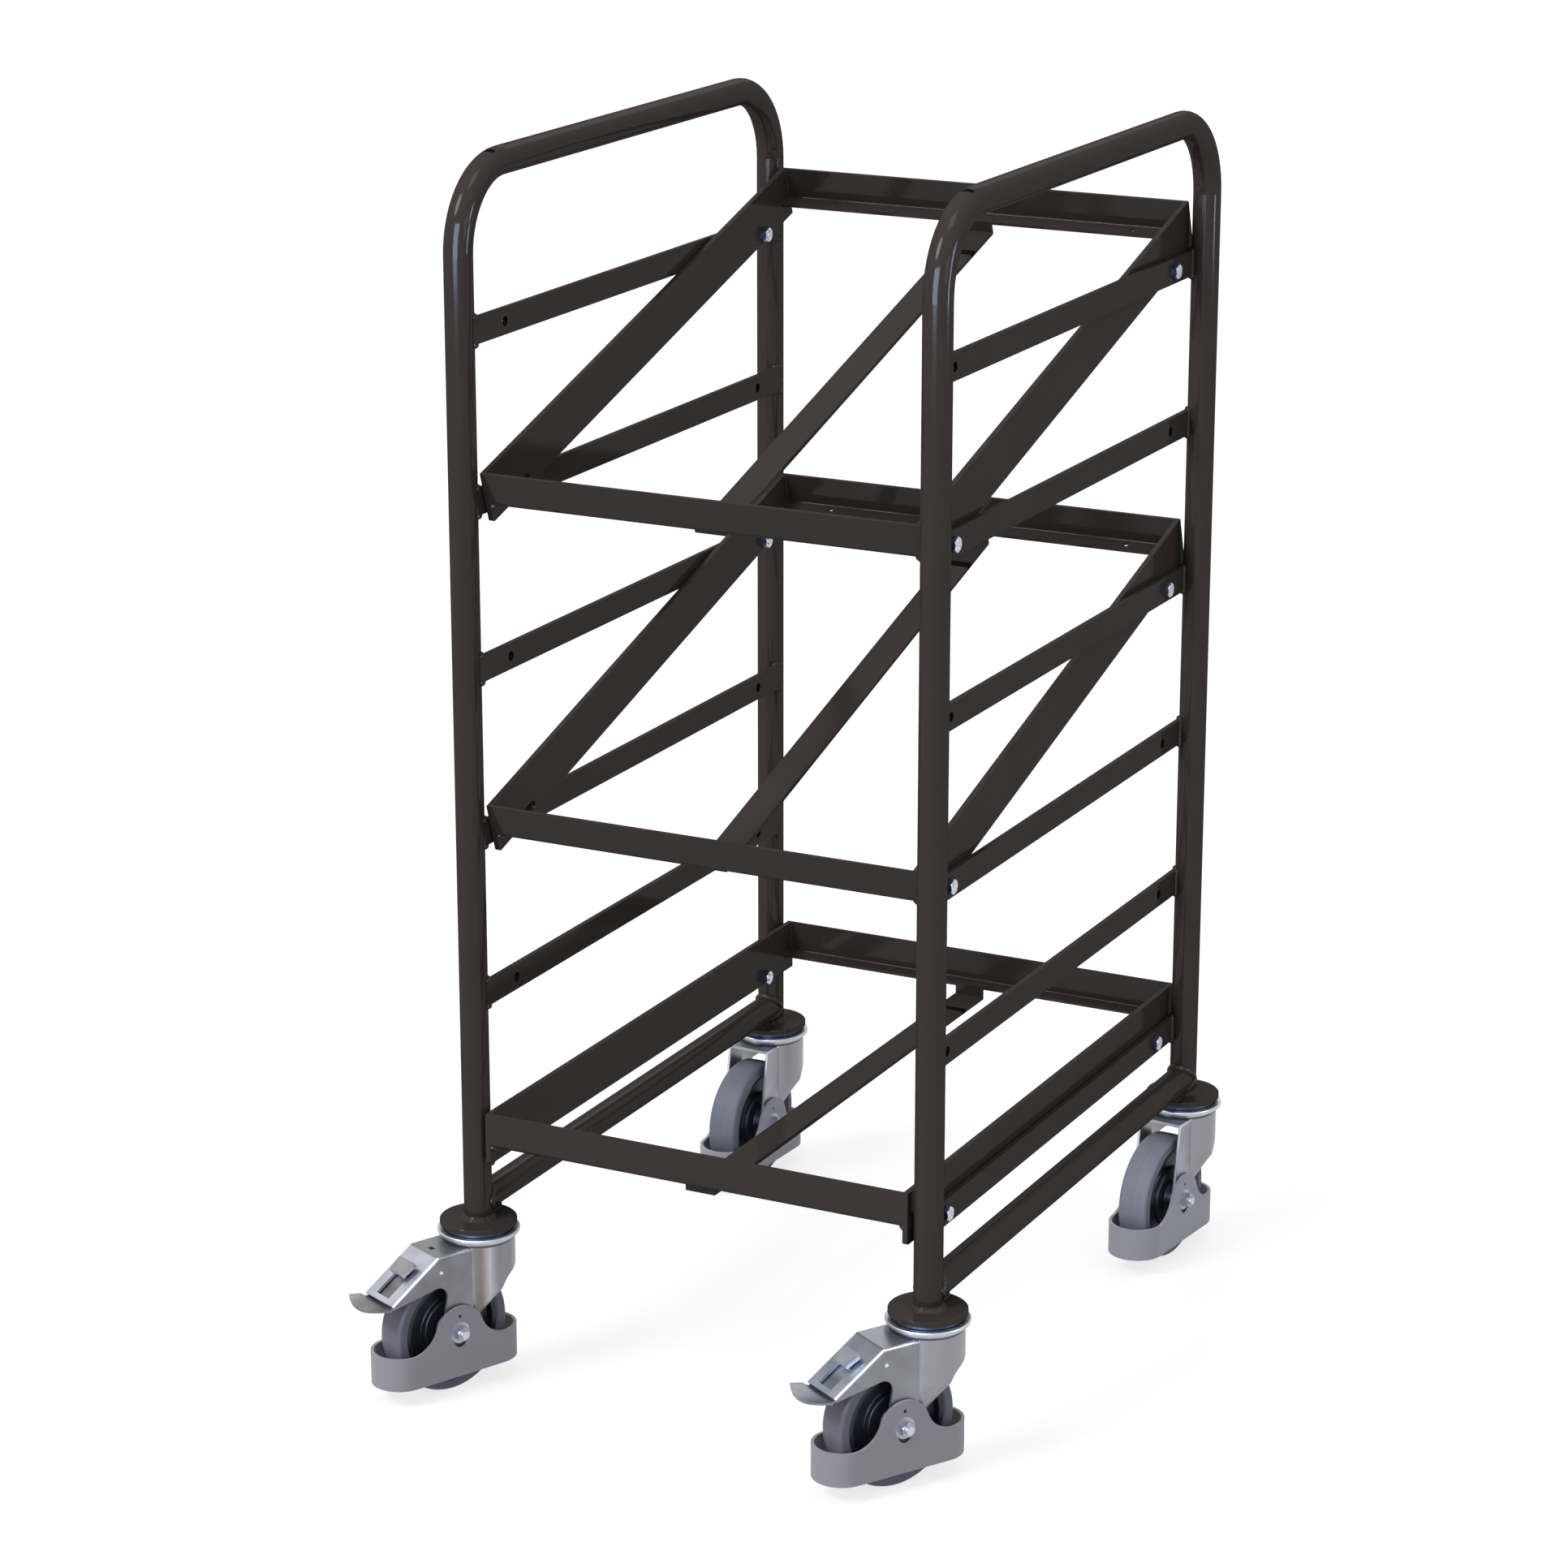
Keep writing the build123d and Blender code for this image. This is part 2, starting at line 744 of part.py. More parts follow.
def guard_profile():
    """Side view of the foot guard: belt, round boss at the axle, swept shoulders."""
    half = guard_length / 2 + overshoot
    bottom = -guard_bottom_below_axle
    rise = guard_belt_top_below_axle
    sweep_height = guard_sweep_radius - rise
    sweep_trail = math.sqrt((guard_boss_radius + guard_sweep_radius) ** 2 - sweep_height ** 2)
    lean = math.atan2(sweep_height, sweep_trail)
    touch = (guard_boss_radius * math.cos(lean), guard_boss_radius * math.sin(lean))
    halfway = (lean + math.pi / 2) / 2
    middle = (
        sweep_trail - guard_sweep_radius * math.cos(halfway),
        sweep_height - guard_sweep_radius * math.sin(halfway),
    )

    def at(along, up):
        return (castor_trail + along, wheel_radius + up)

    edges = [
        Line(at(-half, bottom), at(half, bottom)),
        Line(at(half, bottom), at(half, -rise)),
        Line(at(half, -rise), at(sweep_trail, -rise)),
        ThreePointArc(at(sweep_trail, -rise), at(*middle), at(*touch)),
        ThreePointArc(at(*touch), at(0, guard_boss_radius), at(-touch[0], touch[1])),
        ThreePointArc(at(-touch[0], touch[1]), at(-middle[0], middle[1]), at(-sweep_trail, -rise)),
        Line(at(-sweep_trail, -rise), at(-half, -rise)),
        Line(at(-half, -rise), at(-half, bottom)),
    ]
    return make_face(edges)


def foot_guard():
    """Plastic guard round the wheel, open above and below, hung on the axle."""
    height = wheel_radius + guard_boss_radius
    plan = Plane(origin=(0, -castor_trail, 0), x_dir=(0, -1, 0), z_dir=(0, 0, 1))
    width = 2 * guard_half
    stadium = SlotOverall(guard_length, width)
    inner = SlotOverall(guard_length - 2 * guard_wall, width - 2 * guard_wall)
    guard = extrude(plan * (stadium - inner), height)
    guard &= extrude(side_view * guard_profile(), width, both=True)
    y, z = -castor_trail, wheel_radius
    recess = axle_washer_diameter / 2 + 2 * running_clearance
    for side in (-1, 1):
        pad_face = side * fork_half
        inner_face = side * (guard_half - guard_wall)
        outer_face = side * guard_half
        washer_seat = side * (guard_half - axle_washer_thickness)
        guard += rod(guard_pad_radius, (pad_face, y, z), (inner_face, y, z))
        guard -= rod(recess, (washer_seat, y, z), (outer_face + side, y, z))
        guard -= rod(axle_diameter / 2 + bolt_clearance, (pad_face - side, y, z), (outer_face, y, z))
        notch = z - guard_notch_below_axle
        guard -= rod(guard_notch_radius, (washer_seat, y, notch), (outer_face + side, y, notch))
        vent = z + guard_vent_above_axle
        guard -= rod(guard_vent_diameter / 2, (pad_face, y, vent), (outer_face + side, y, vent))
    return guard


def axle_set():
    """Axle bolt, nut, two washers and the spacer tube that the hub turns on."""
    y, z = -castor_trail, wheel_radius
    outer = guard_half
    bolt = rod(
        axle_diameter / 2, (-outer, y, z), (outer + axle_nut_height + axle_end_beyond_nut, y, z)
    )
    bolt += hexagon(
        axle_across_flats, (-outer, y, z), (-outer - axle_head_height, y, z), head_edge_chamfer
    )
    nut = hexagon(axle_across_flats, (outer, y, z), (outer + axle_nut_height, y, z), head_edge_chamfer)
    nut_end = outer + axle_nut_height + overshoot
    nut -= rod(axle_diameter / 2, (outer - overshoot, y, z), (nut_end, y, z))
    pieces = [bolt, nut]
    for side in (-1, 1):
        start, end = (side * (outer - axle_washer_thickness), y, z), (side * outer, y, z)
        washer = rod(axle_washer_diameter / 2, start, end)
        pieces.append(washer - rod(axle_diameter / 2, start, end))
    half = fork_inner_half
    spacer = rod(spacer_diameter / 2, (-half, y, z), (half, y, z))
    spacer -= rod(axle_diameter / 2, (-half, y, z), (half, y, z))
    pieces.append(spacer)
    return Compound(children=[solid for piece in pieces for solid in piece.solids()])


def turned(corners):
    """Body of revolution about the axle from corners (radius, lateral, corner radius)."""
    plane = Plane(origin=(0, -castor_trail, wheel_radius), x_dir=(0, 0, 1), z_dir=(0, -1, 0))
    axis = Axis((0, -castor_trail, wheel_radius), (1, 0, 0))
    return revolve(plane * outline(corners), axis)


def tyre():
    """Tyre with a slightly crowned tread and round shoulders."""
    half = tyre_width / 2
    seat = wheel_radius - tyre_thickness
    shoulder = wheel_radius - tyre_crown
    return turned(
        [
            (seat, -hub_rim_width / 2, 0),
            (seat + tyre_side_step, -half, tyre_side_radius),
            (shoulder, -half, tyre_shoulder_radius),
            (wheel_radius, 0, 0),
            (shoulder, half, tyre_shoulder_radius),
            (seat + tyre_side_step, half, tyre_side_radius),
            (seat, hub_rim_width / 2, 0),
        ]
    )


def hub():
    """Moulded hub: rim, web, raised step and boss, bored for the spacer tube."""
    bore = spacer_diameter / 2 + running_clearance
    rim = wheel_radius - tyre_thickness
    rim_inner = rim - hub_rim_wall
    boss = hub_boss_diameter / 2
    step = hub_step_diameter / 2
    end = fork_inner_half - hub_side_play
    half_profile = [
        (bore, end, 0),
        (boss - hub_draft, end, hub_edge_radius),
        (boss, hub_step_width / 2, hub_edge_radius),
        (step - hub_draft, hub_step_width / 2, hub_edge_radius),
        (step, hub_web_thickness / 2, hub_edge_radius),
        (rim_inner - hub_draft, hub_web_thickness / 2, hub_edge_radius),
        (rim_inner, hub_rim_width / 2, hub_rim_edge_radius),
        (rim, hub_rim_width / 2, 0),
    ]
    mirrored = [(radius, -lateral, corner) for radius, lateral, corner in reversed(half_profile)]
    return turned(half_profile + mirrored)


def brake_lever():
    """Brake lever: plate under the slope, two cheeks on the stubs, release tab and pedal."""
    half = fork_inner_half - lever_side_gap
    top = -lever_below_slope
    bottom = top - lever_thickness
    plate = outline(
        [
            (*slope_point(lever_plate_start, bottom), 0),
            (*slope_point(lever_plate_end, bottom), 0),
            (*slope_point(lever_plate_end, top), 0),
            (*slope_point(lever_plate_start, top), 0),
        ]
    )
    lever = extrude(side_view * plate, half, both=True)
    pivot = brake_pivot()
    back = brake_pivot_along - lever_hub_radius
    front = brake_pivot_along + lever_hub_radius
    cheek = outline(
        [
            (*slope_point(back, -brake_pivot_depth), lever_corner_radius),
            (*slope_point(lever_plate_start, top), 0),
            (*slope_point(lever_plate_end, top), 0),
            (*slope_point(lever_plate_end, bottom), 0),
            (*slope_point(front, -brake_pivot_depth), lever_corner_radius),
        ]
    )
    cheek = cheek + Pos(*pivot) * Circle(lever_hub_radius)
    cheek -= Pos(*pivot) * Circle(brake_stub_diameter / 2 + running_clearance)
    cheeks = extrude(side_view * cheek, half, both=True)
    cheeks -= extrude(side_view * cheek, half - lever_thickness, both=True)
    lever += cheeks
    return lever + release_tab() + pedal()


def release_tab():
    """Raised tab over the slope, joined to the lever plate through the window."""
    slope_face = Plane(
        origin=(0, -slope_point(0, tab_above_slope)[0], slope_point(0, tab_above_slope)[1]),
        x_dir=(0, -slope_out[0], slope_out[1]),
        z_dir=(0, -slope_up[0], slope_up[1]),
    )
    top, bottom = tab_width_top / 2, tab_width_bottom / 2
    tab = extrude(
        slope_face
        * outline(
            [
                (tab_start, -top, tab_upper_radius),
                (tab_end, -bottom, tab_lower_radius),
                (tab_end, bottom, tab_lower_radius),
                (tab_start, top, tab_upper_radius),
            ]
        ),
        tab_thickness,
    )
    neck = outline(
        [
            (*slope_point(tab_neck_start, -lever_below_slope - lever_thickness / 2), 0),
            (*slope_point(tab_neck_end, -lever_below_slope - lever_thickness / 2), 0),
            (*slope_point(tab_neck_end, tab_above_slope + tab_thickness / 2), 0),
            (*slope_point(tab_neck_start, tab_above_slope + tab_thickness / 2), 0),
        ]
    )
    return tab + extrude(side_view * neck, tab_neck_width / 2, both=True)


def pedal_band(trail, middle, scoop):
    """Cross-section of the pedal lip, its sides higher than its middle by the scoop."""
    half = fork_half + pedal_beyond_cheek
    side = middle + scoop
    edges = [
        Line((-half, side), (-half, side - pedal_thickness)),
        ThreePointArc(
            (-half, side - pedal_thickness),
            (0, middle - pedal_thickness),
            (half, side - pedal_thickness),
        ),
        Line((half, side - pedal_thickness), (half, side)),
        ThreePointArc((half, side), (0, middle), (-half, side)),
    ]
    plane = Plane(origin=(0, -trail, 0), x_dir=(1, 0, 0), z_dir=(0, -1, 0))
    return plane * make_face(edges)


def pedal():
    """Scooped pedal lip that runs out from under the slope and flares to its full width."""
    half = fork_inner_half - lever_side_gap
    wing = fork_half + pedal_beyond_cheek
    depth = lever_below_slope + pedal_below_plate
    root = slope_point(pedal_start, -depth)
    bend = slope_point(lever_plate_end, -depth)
    housing_end = slope_point(slope_length)[0]
    tip = housing_end + pedal_length
    lip = loft(
        [
            pedal_band(*root, pedal_root_scoop),
            pedal_band(*bend, pedal_bend_scoop),
            pedal_band(tip + pedal_front_bow, bend[1] + pedal_tip_rise, pedal_tip_scoop),
        ],
        ruled=True,
    )
    flare = housing_end + pedal_flare_gap
    full = flare + pedal_flare_run
    bow = tip - pedal_front_bow
    plan = [
        Line((root[0], half), (flare, half)),
        Line((flare, half), (full, wing)),
        Line((full, wing), (bow, wing)),
        ThreePointArc((bow, wing), (tip, 0), (bow, -wing)),
        Line((bow, -wing), (full, -wing)),
        Line((full, -wing), (flare, -half)),
        Line((flare, -half), (root[0], -half)),
        Line((root[0], -half), (root[0], half)),
    ]
    footprint = Plane(origin=(0, 0, 0), x_dir=(0, -1, 0), z_dir=(0, 0, 1)) * make_face(plan)
    return lip & extrude(footprint, fork_top)


def brake_shoe():
    """Brake shoe under the lever plate, hollowed to fit the tyre with the lever down."""
    top = -lever_below_slope - lever_thickness
    block = outline(
        [
            (*slope_point(shoe_start, top), 0),
            (*slope_point(shoe_end, top), 0),
            (*slope_point(shoe_end, top - slope_above_tyre), 0),
            (*slope_point(shoe_start, top - slope_above_tyre), 0),
        ]
    )
    pivot = Vector(*brake_pivot())
    axle_from_pivot = (Vector(*axle_point) - pivot).rotate(Axis.Z, lever_travel)
    block -= Pos(pivot + axle_from_pivot) * Circle(wheel_radius + shoe_tyre_gap)
    shoe = extrude(side_view * block, shoe_width / 2, both=True)
    return shoe.solids().sort_by(lambda solid: solid.volume)[-1]


def placed(place, piece):
    """Castor piece turned and moved to its upright."""
    x, y = castor_places[place]
    return Pos(x, y, 0) * Rot(0, 0, castor_turns[place]) * piece


def write(name, piece):
    """Write one sub-part under its node's name."""
    export_step(piece, f"parts/{name}.step")


def group(pieces):
    """Several separate solids as one sub-part."""
    return Compound(children=[solid for piece in pieces for solid in piece.solids()])


def write_frame():
    for side, name in ((-1, "left"), (1, "right")):
        write(f"{name}_side_tube", side_tube(side))
        write(f"{name}_base_tube", base_tube(side))
        for level, lowest, above in (("lower", 0, 2), ("middle", 2, 4), ("upper", 4, rail_count)):
            rails = [rail(side, index) for index in range(lowest, above)]
            write(f"{name}_{level}_rails", group(rails))
    for name, maker in (
        ("castor_plates", castor_plate),
        ("threaded_plugs", threaded_plug),
        ("castor_bolts", castor_bolt),
        ("top_races", top_race),
    ):
        write(name, group([maker(place) for place in castor_places]))


def write_shelves():
    for name in shelf_settings:
        place = shelf_place(name)
        write(f"{name}_shelf_left_bar", place * side_bar(-1))
        write(f"{name}_shelf_right_bar", place * side_bar(1))
        write(f"{name}_shelf_front_angle", place * cross_angle(-1))
        write(f"{name}_shelf_rear_angle", place * cross_angle(1))
        write(f"{name}_shelf_centre_strip", place * centre_strip())
    holes = [
        (side, y, z) for name in shelf_settings for side in (-1, 1) for y, z in bolt_places(name)
    ]
    write("shelf_bolts", group([shelf_bolt(*hole) for hole in holes]))
    inner = [maker(*hole) for hole in holes for maker in (shelf_spacer, shelf_nut)]
    write("shelf_nuts", group(inner))


def write_castors():
    for place in castor_places:
        write(f"{place}_fork", placed(place, fork(place)))
        write(f"{place}_swivel_ring", placed(place, swivel_ring()))
        write(f"{place}_foot_guard", placed(place, foot_guard()))
        write(f"{place}_axle", placed(place, axle_set()))
        write(f"{place}_tyre", placed(place, tyre()))
        write(f"{place}_hub", placed(place, hub()))
    for place in front_castors:
        write(f"{place}_brake_lever", placed(place, brake_lever()))
        write(f"{place}_brake_shoe", placed(place, brake_shoe()))


os.makedirs("parts", exist_ok=True)
write_frame()
write_shelves()
write_castors()
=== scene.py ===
import math
import bpy
import numpy as np
from mathutils import Matrix, Vector


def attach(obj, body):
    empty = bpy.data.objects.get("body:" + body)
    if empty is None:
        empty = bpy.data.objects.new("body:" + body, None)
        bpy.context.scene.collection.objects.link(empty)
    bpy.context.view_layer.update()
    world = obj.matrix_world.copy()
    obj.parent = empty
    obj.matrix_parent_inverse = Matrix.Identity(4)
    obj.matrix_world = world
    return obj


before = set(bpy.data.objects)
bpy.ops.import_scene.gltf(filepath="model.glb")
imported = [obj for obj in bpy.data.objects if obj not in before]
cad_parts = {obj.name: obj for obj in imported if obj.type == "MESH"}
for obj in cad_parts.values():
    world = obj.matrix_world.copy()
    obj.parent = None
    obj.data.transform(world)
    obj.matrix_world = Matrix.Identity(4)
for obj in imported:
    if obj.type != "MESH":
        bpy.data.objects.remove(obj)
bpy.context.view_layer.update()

# Crate trolley. Metres, with the floor at z = 0 and the front of the trolley towards -Y.

# Side frames: heights from the floor, uprights and holes from the trolley's middle, pads from an upright
TUBE_RADIUS = 0.0135
UPRIGHT_X = 0.2355
UPRIGHT_Y = 0.306
PLATE_TOP = 0.161
BASE_TUBE_HEIGHT = 0.177
PAD_HALF_WIDTH = 0.0065
PAD_START = 0.013
PAD_END = 0.033
RAIL_HEIGHT = 0.025
RAIL_PITCH = 0.1569
LOWEST_RAIL = 0.2172
RAIL_COUNT = 6
HOLE_HALF_SPACING = 0.25

# Shelves: the rails that each hangs on at its rear and at its front, counted from the lowest
SHELVES = {"lower": (0, 0), "middle": (3, 2), "upper": (5, 4)}

# Shelf sizes from the axis of the rear bolts, and sideways from the trolley's middle plane
BAR_FACE = 0.2143
BAR_TOP = 0.0417
BAR_REAR = 0.065
BAR_FRONT = 0.5671
LEG_UNDERSIDE = 0.0082
LEG_WIDTH = 0.020
ANGLE_STEEL = 0.003
ANGLE_BEND = 0.0028
STRIP_STEEL = 0.004
REAR_FILLET = 0.0034
FRONT_FILLETS = {"lower": 0.0062, "middle": 0.0056, "upper": 0.0072}

# Shelf bolts, by distance from the trolley's middle plane
BOLT_TIP = 0.2066
NUT_FACE = 0.2078
HEAD_FACE = 0.2316

# Thread of the shelf bolts and axle bolts
THREAD_RADIUS = 0.0038
THREAD_PITCH = 0.00125

# Castors: side, end and turn in degrees of each
CASTORS = {
    "front_left": (-1, -1, -24.6),
    "front_right": (1, -1, -31.0),
    "rear_left": (-1, 1, -3.4),
    "rear_right": (1, 1, -6.0),
}

# Castor sizes: trail and crease from the swivel axis, radii from the axle, widths from the wheel's middle
TRAIL = 0.0425
FORK_CREASE = 0.0248
FORK_TOP = 0.1425
WHEEL_RADIUS = 0.0625
CHEEK = 0.024
NOTCH_INSIDE = 0.0256
NOTCH_OUTSIDE = 0.0279
NOTCH_RADIUS = 0.0156
AXLE_WASHER_FACE = 0.028
AXLE_NUT_FACE = 0.0345
AXLE_TIP = 0.0371

# Streaks round a swivel head, as turn about the swivel axis, brightness and warmth; in the browned set the
# bright stop at a turn of 0.383 is a painted highlight.
BROWNED_WITH_HIGHLIGHT = [
    (0.00, 0.28, 0.02), (0.26, 0.26, -0.02), (0.298, 0.27, -0.01), (0.320, 0.165, 0.10), (0.346, 0.155, 0.12),
    (0.368, 0.30, 0.04), (0.383, 0.42, 0.02), (0.402, 0.33, -0.02), (0.43, 0.24, -0.03), (0.50, 0.22, 0.00),
    (0.545, 0.29, -0.02), (0.60, 0.22, 0.03), (0.75, 0.30, 0.00), (1.00, 0.28, 0.02),
]
EVEN = [
    (0.00, 0.27, 0.00), (0.26, 0.27, -0.02), (0.31, 0.255, 0.00), (0.36, 0.275, 0.02), (0.41, 0.25, -0.01),
    (0.47, 0.26, 0.00), (0.54, 0.28, -0.02), (0.62, 0.25, 0.02), (0.80, 0.29, 0.00), (1.00, 0.27, 0.00),
]

# Colours of each castor: zinc on the fork's cheeks, brake slope and level top, the guard, and the tread under
# its wear. These are painted light: each castor's tones are lit and shaded copies of one finish, as bright as
# the light falls there.
REAR_FORK = {
    "cheek": (0.29, 0.292, 0.315),
    "slope": (0.29, 0.292, 0.315),
    "top": (0.28, 0.285, 0.31),
    "streaks_and_highlight": EVEN,
}
FORK_TONES = {
    "front_left": {
        "cheek": (0.208, 0.206, 0.226),
        "slope": (0.46, 0.47, 0.52),
        "top": (0.22, 0.225, 0.24),
        "streaks_and_highlight": BROWNED_WITH_HIGHLIGHT,
    },
    "front_right": {
        "cheek": (0.218, 0.215, 0.235),
        "slope": (0.38, 0.415, 0.47),
        "top": (0.25, 0.265, 0.29),
        "streaks_and_highlight": EVEN,
    },
    "rear_left": REAR_FORK,
    "rear_right": REAR_FORK,
}
# Painted light: each castor's guard tone is as bright as the light falls on it, lighter at the rear.
GUARD_TONES = {
    "front_left": (0.345, 0.326, 0.364),
    "front_right": (0.335, 0.318, 0.360),
    "rear_left": (0.370, 0.362, 0.420),
    "rear_right": (0.385, 0.376, 0.440),
}
# Painted light: each castor's tread tone is as bright as the light falls on it, lightest at the rear right.
TREAD_TONES = {
    "front_left": (0.185, 0.175, 0.228),
    "front_right": (0.183, 0.170, 0.212),
    "rear_left": (0.160, 0.164, 0.212),
    "rear_right": (0.240, 0.246, 0.314),
}


# Camera, surroundings, floor and lamps

def make_camera():
    """Camera at the photograph's place and angle, on a long lens."""
    place = (1.82645, -3.74144, 1.81605)
    turn, pitch = math.radians(26.821), math.radians(17.054)
    level = math.cos(pitch)
    ahead = Vector((-math.sin(turn) * level, math.cos(turn) * level, -math.sin(pitch)))
    right = Vector((math.cos(turn), math.sin(turn), 0))
    up = right.cross(ahead)
    data = bpy.data.cameras.new("camera")
    data.sensor_width = 36.0
    data.lens = 104.13
    data.clip_end = 100.0
    camera = bpy.data.objects.new("camera", data)
    bpy.context.scene.collection.objects.link(camera)
    columns = Matrix((right, up, -ahead)).transposed()
    camera.matrix_world = Matrix.Translation(place) @ columns.to_4x4()
    bpy.context.scene.camera = camera


def shader(nodes, kind, **values):
    """A shader node with the sockets named here set."""
    made = nodes.new("ShaderNode" + kind)
    for socket, value in values.items():
        made.inputs[socket].default_value = value
    return made


def chosen_by_ray(nodes, links, soft, direct):
    """One shader for soft light, and another for rays from the camera, from gloss and through glass."""
    path = nodes.new("ShaderNodeLightPath")
    share = path.outputs["Is Camera Ray"]
    for kind in ("Is Glossy Ray", "Is Transmission Ray"):
        most = nodes.new("ShaderNodeMath")
        most.operation = "MAXIMUM"
        links.new(share, most.inputs[0])
        links.new(path.outputs[kind], most.inputs[1])
        share = most.outputs[0]
    mix = nodes.new("ShaderNodeMixShader")
    for socket, value in enumerate((share, soft.outputs[0], direct.outputs[0])):
        links.new(value, mix.inputs[socket])
    return mix.outputs[0]


def make_surroundings():
    """White surroundings, and a weaker cool light from all round."""
    world = bpy.data.worlds.new("surroundings")
    bpy.context.scene.world = world
    world.use_nodes = True
    nodes, links = world.node_tree.nodes, world.node_tree.links
    nodes.clear()
    soft = shader(nodes, "Background", Color=(0.94, 0.97, 1.0, 1), Strength=0.62)
    white = shader(nodes, "Background", Color=(1, 1, 1, 1), Strength=1.0)
    out = nodes.new("ShaderNodeOutputWorld")
    links.new(chosen_by_ray(nodes, links, soft, white), out.inputs["Surface"])


def make_floor():
    """Plain pale floor that keeps a soft shadow."""
    finish = bpy.data.materials.new("floor")
    finish.use_nodes = True
    nodes, links = finish.node_tree.nodes, finish.node_tree.links
    nodes.clear()
    plain = shader(nodes, "BsdfDiffuse", Color=(0.42, 0.42, 0.42, 1))
    matt = shader(nodes, "BsdfDiffuse", Color=(0.34, 0.34, 0.34, 1))
    glow = shader(nodes, "Emission", Strength=0.74)
    shown = nodes.new("ShaderNodeAddShader")
    links.new(matt.outputs[0], shown.inputs[0])
    links.new(glow.outputs[0], shown.inputs[1])
    out = nodes.new("ShaderNodeOutputMaterial")
    links.new(chosen_by_ray(nodes, links, plain, shown), out.inputs["Surface"])
    mesh = bpy.data.meshes.new("floor")
    reach = 60.0
    corners = [(-reach, -reach, 0), (reach, -reach, 0), (reach, reach, 0), (-reach, reach, 0)]
    mesh.from_pydata(corners, [], [(0, 1, 2, 3)])
    mesh.materials.append(finish)
    floor = bpy.data.objects.new("floor", mesh)
    bpy.context.scene.collection.objects.link(floor)


def key_light(name, place, strength, spread):
    """Even light over the whole floor from one side, with a soft edge to its shadows."""
    data = bpy.data.lights.new(name, "SUN")
    data.energy = strength
    data.angle = math.radians(spread)
    made = bpy.data.objects.new(name, data)
    bpy.context.scene.collection.objects.link(made)
    made.rotation_euler = (-Vector(place)).to_track_quat("-Z", "Y").to_euler()


def lamp(name, place, width, height, power):
    """Soft lamp, wide by high, that faces the middle of the trolley."""
    middle = Vector((0, 0, 0.6))
    data = bpy.data.lights.new(name, "AREA")
    data.shape = "RECTANGLE"
    data.size, data.size_y = width, height
    data.energy = power
    made = bpy.data.objects.new(name, data)
    bpy.context.scene.collection.objects.link(made)
    made.location = place
    made.rotation_euler = (middle - Vector(place)).to_track_quat("-Z", "Y").to_euler()
    return made


def soft_reflection(name, place, width, height, power):
    """Cool softbox that shows in gloss alone, as the bluish streaks under the handles' bends."""
    made = lamp(name, place, width, height, power)
    made.data.color = (0.62, 0.73, 1.0)
    made.visible_diffuse = False


def make_stage():
    """Everything round the trolley: surroundings, floor, soft lamps, and softboxes for the gloss."""
    make_surroundings()
    make_floor()
    key_light("key_light", (-2.2, -3.4, 4.2), 1.55, 24.0)
    lamp("top_lamp", (0.5, -0.6, 4.4), 1.3, 1.3, 16.0)
    lamp("side_lamp", (3.6, -1.4, 2.0), 1.3, 1.3, 9.0)
    lamp("rear_lamp", (-1.0, 3.6, 3.0), 1.6, 1.6, 14.0)
    soft_reflection("front_softbox", (0.19, -3.4, 1.51), 2.0, 2.27, 244.0)
    soft_reflection("right_softbox", (2.9, 0.35, 1.22), 0.6, 1.45, 46.0)


# Finishes

def shade(colour, share):
    """A colour made lighter or darker by a share."""
    return tuple(value * share for value in colour)


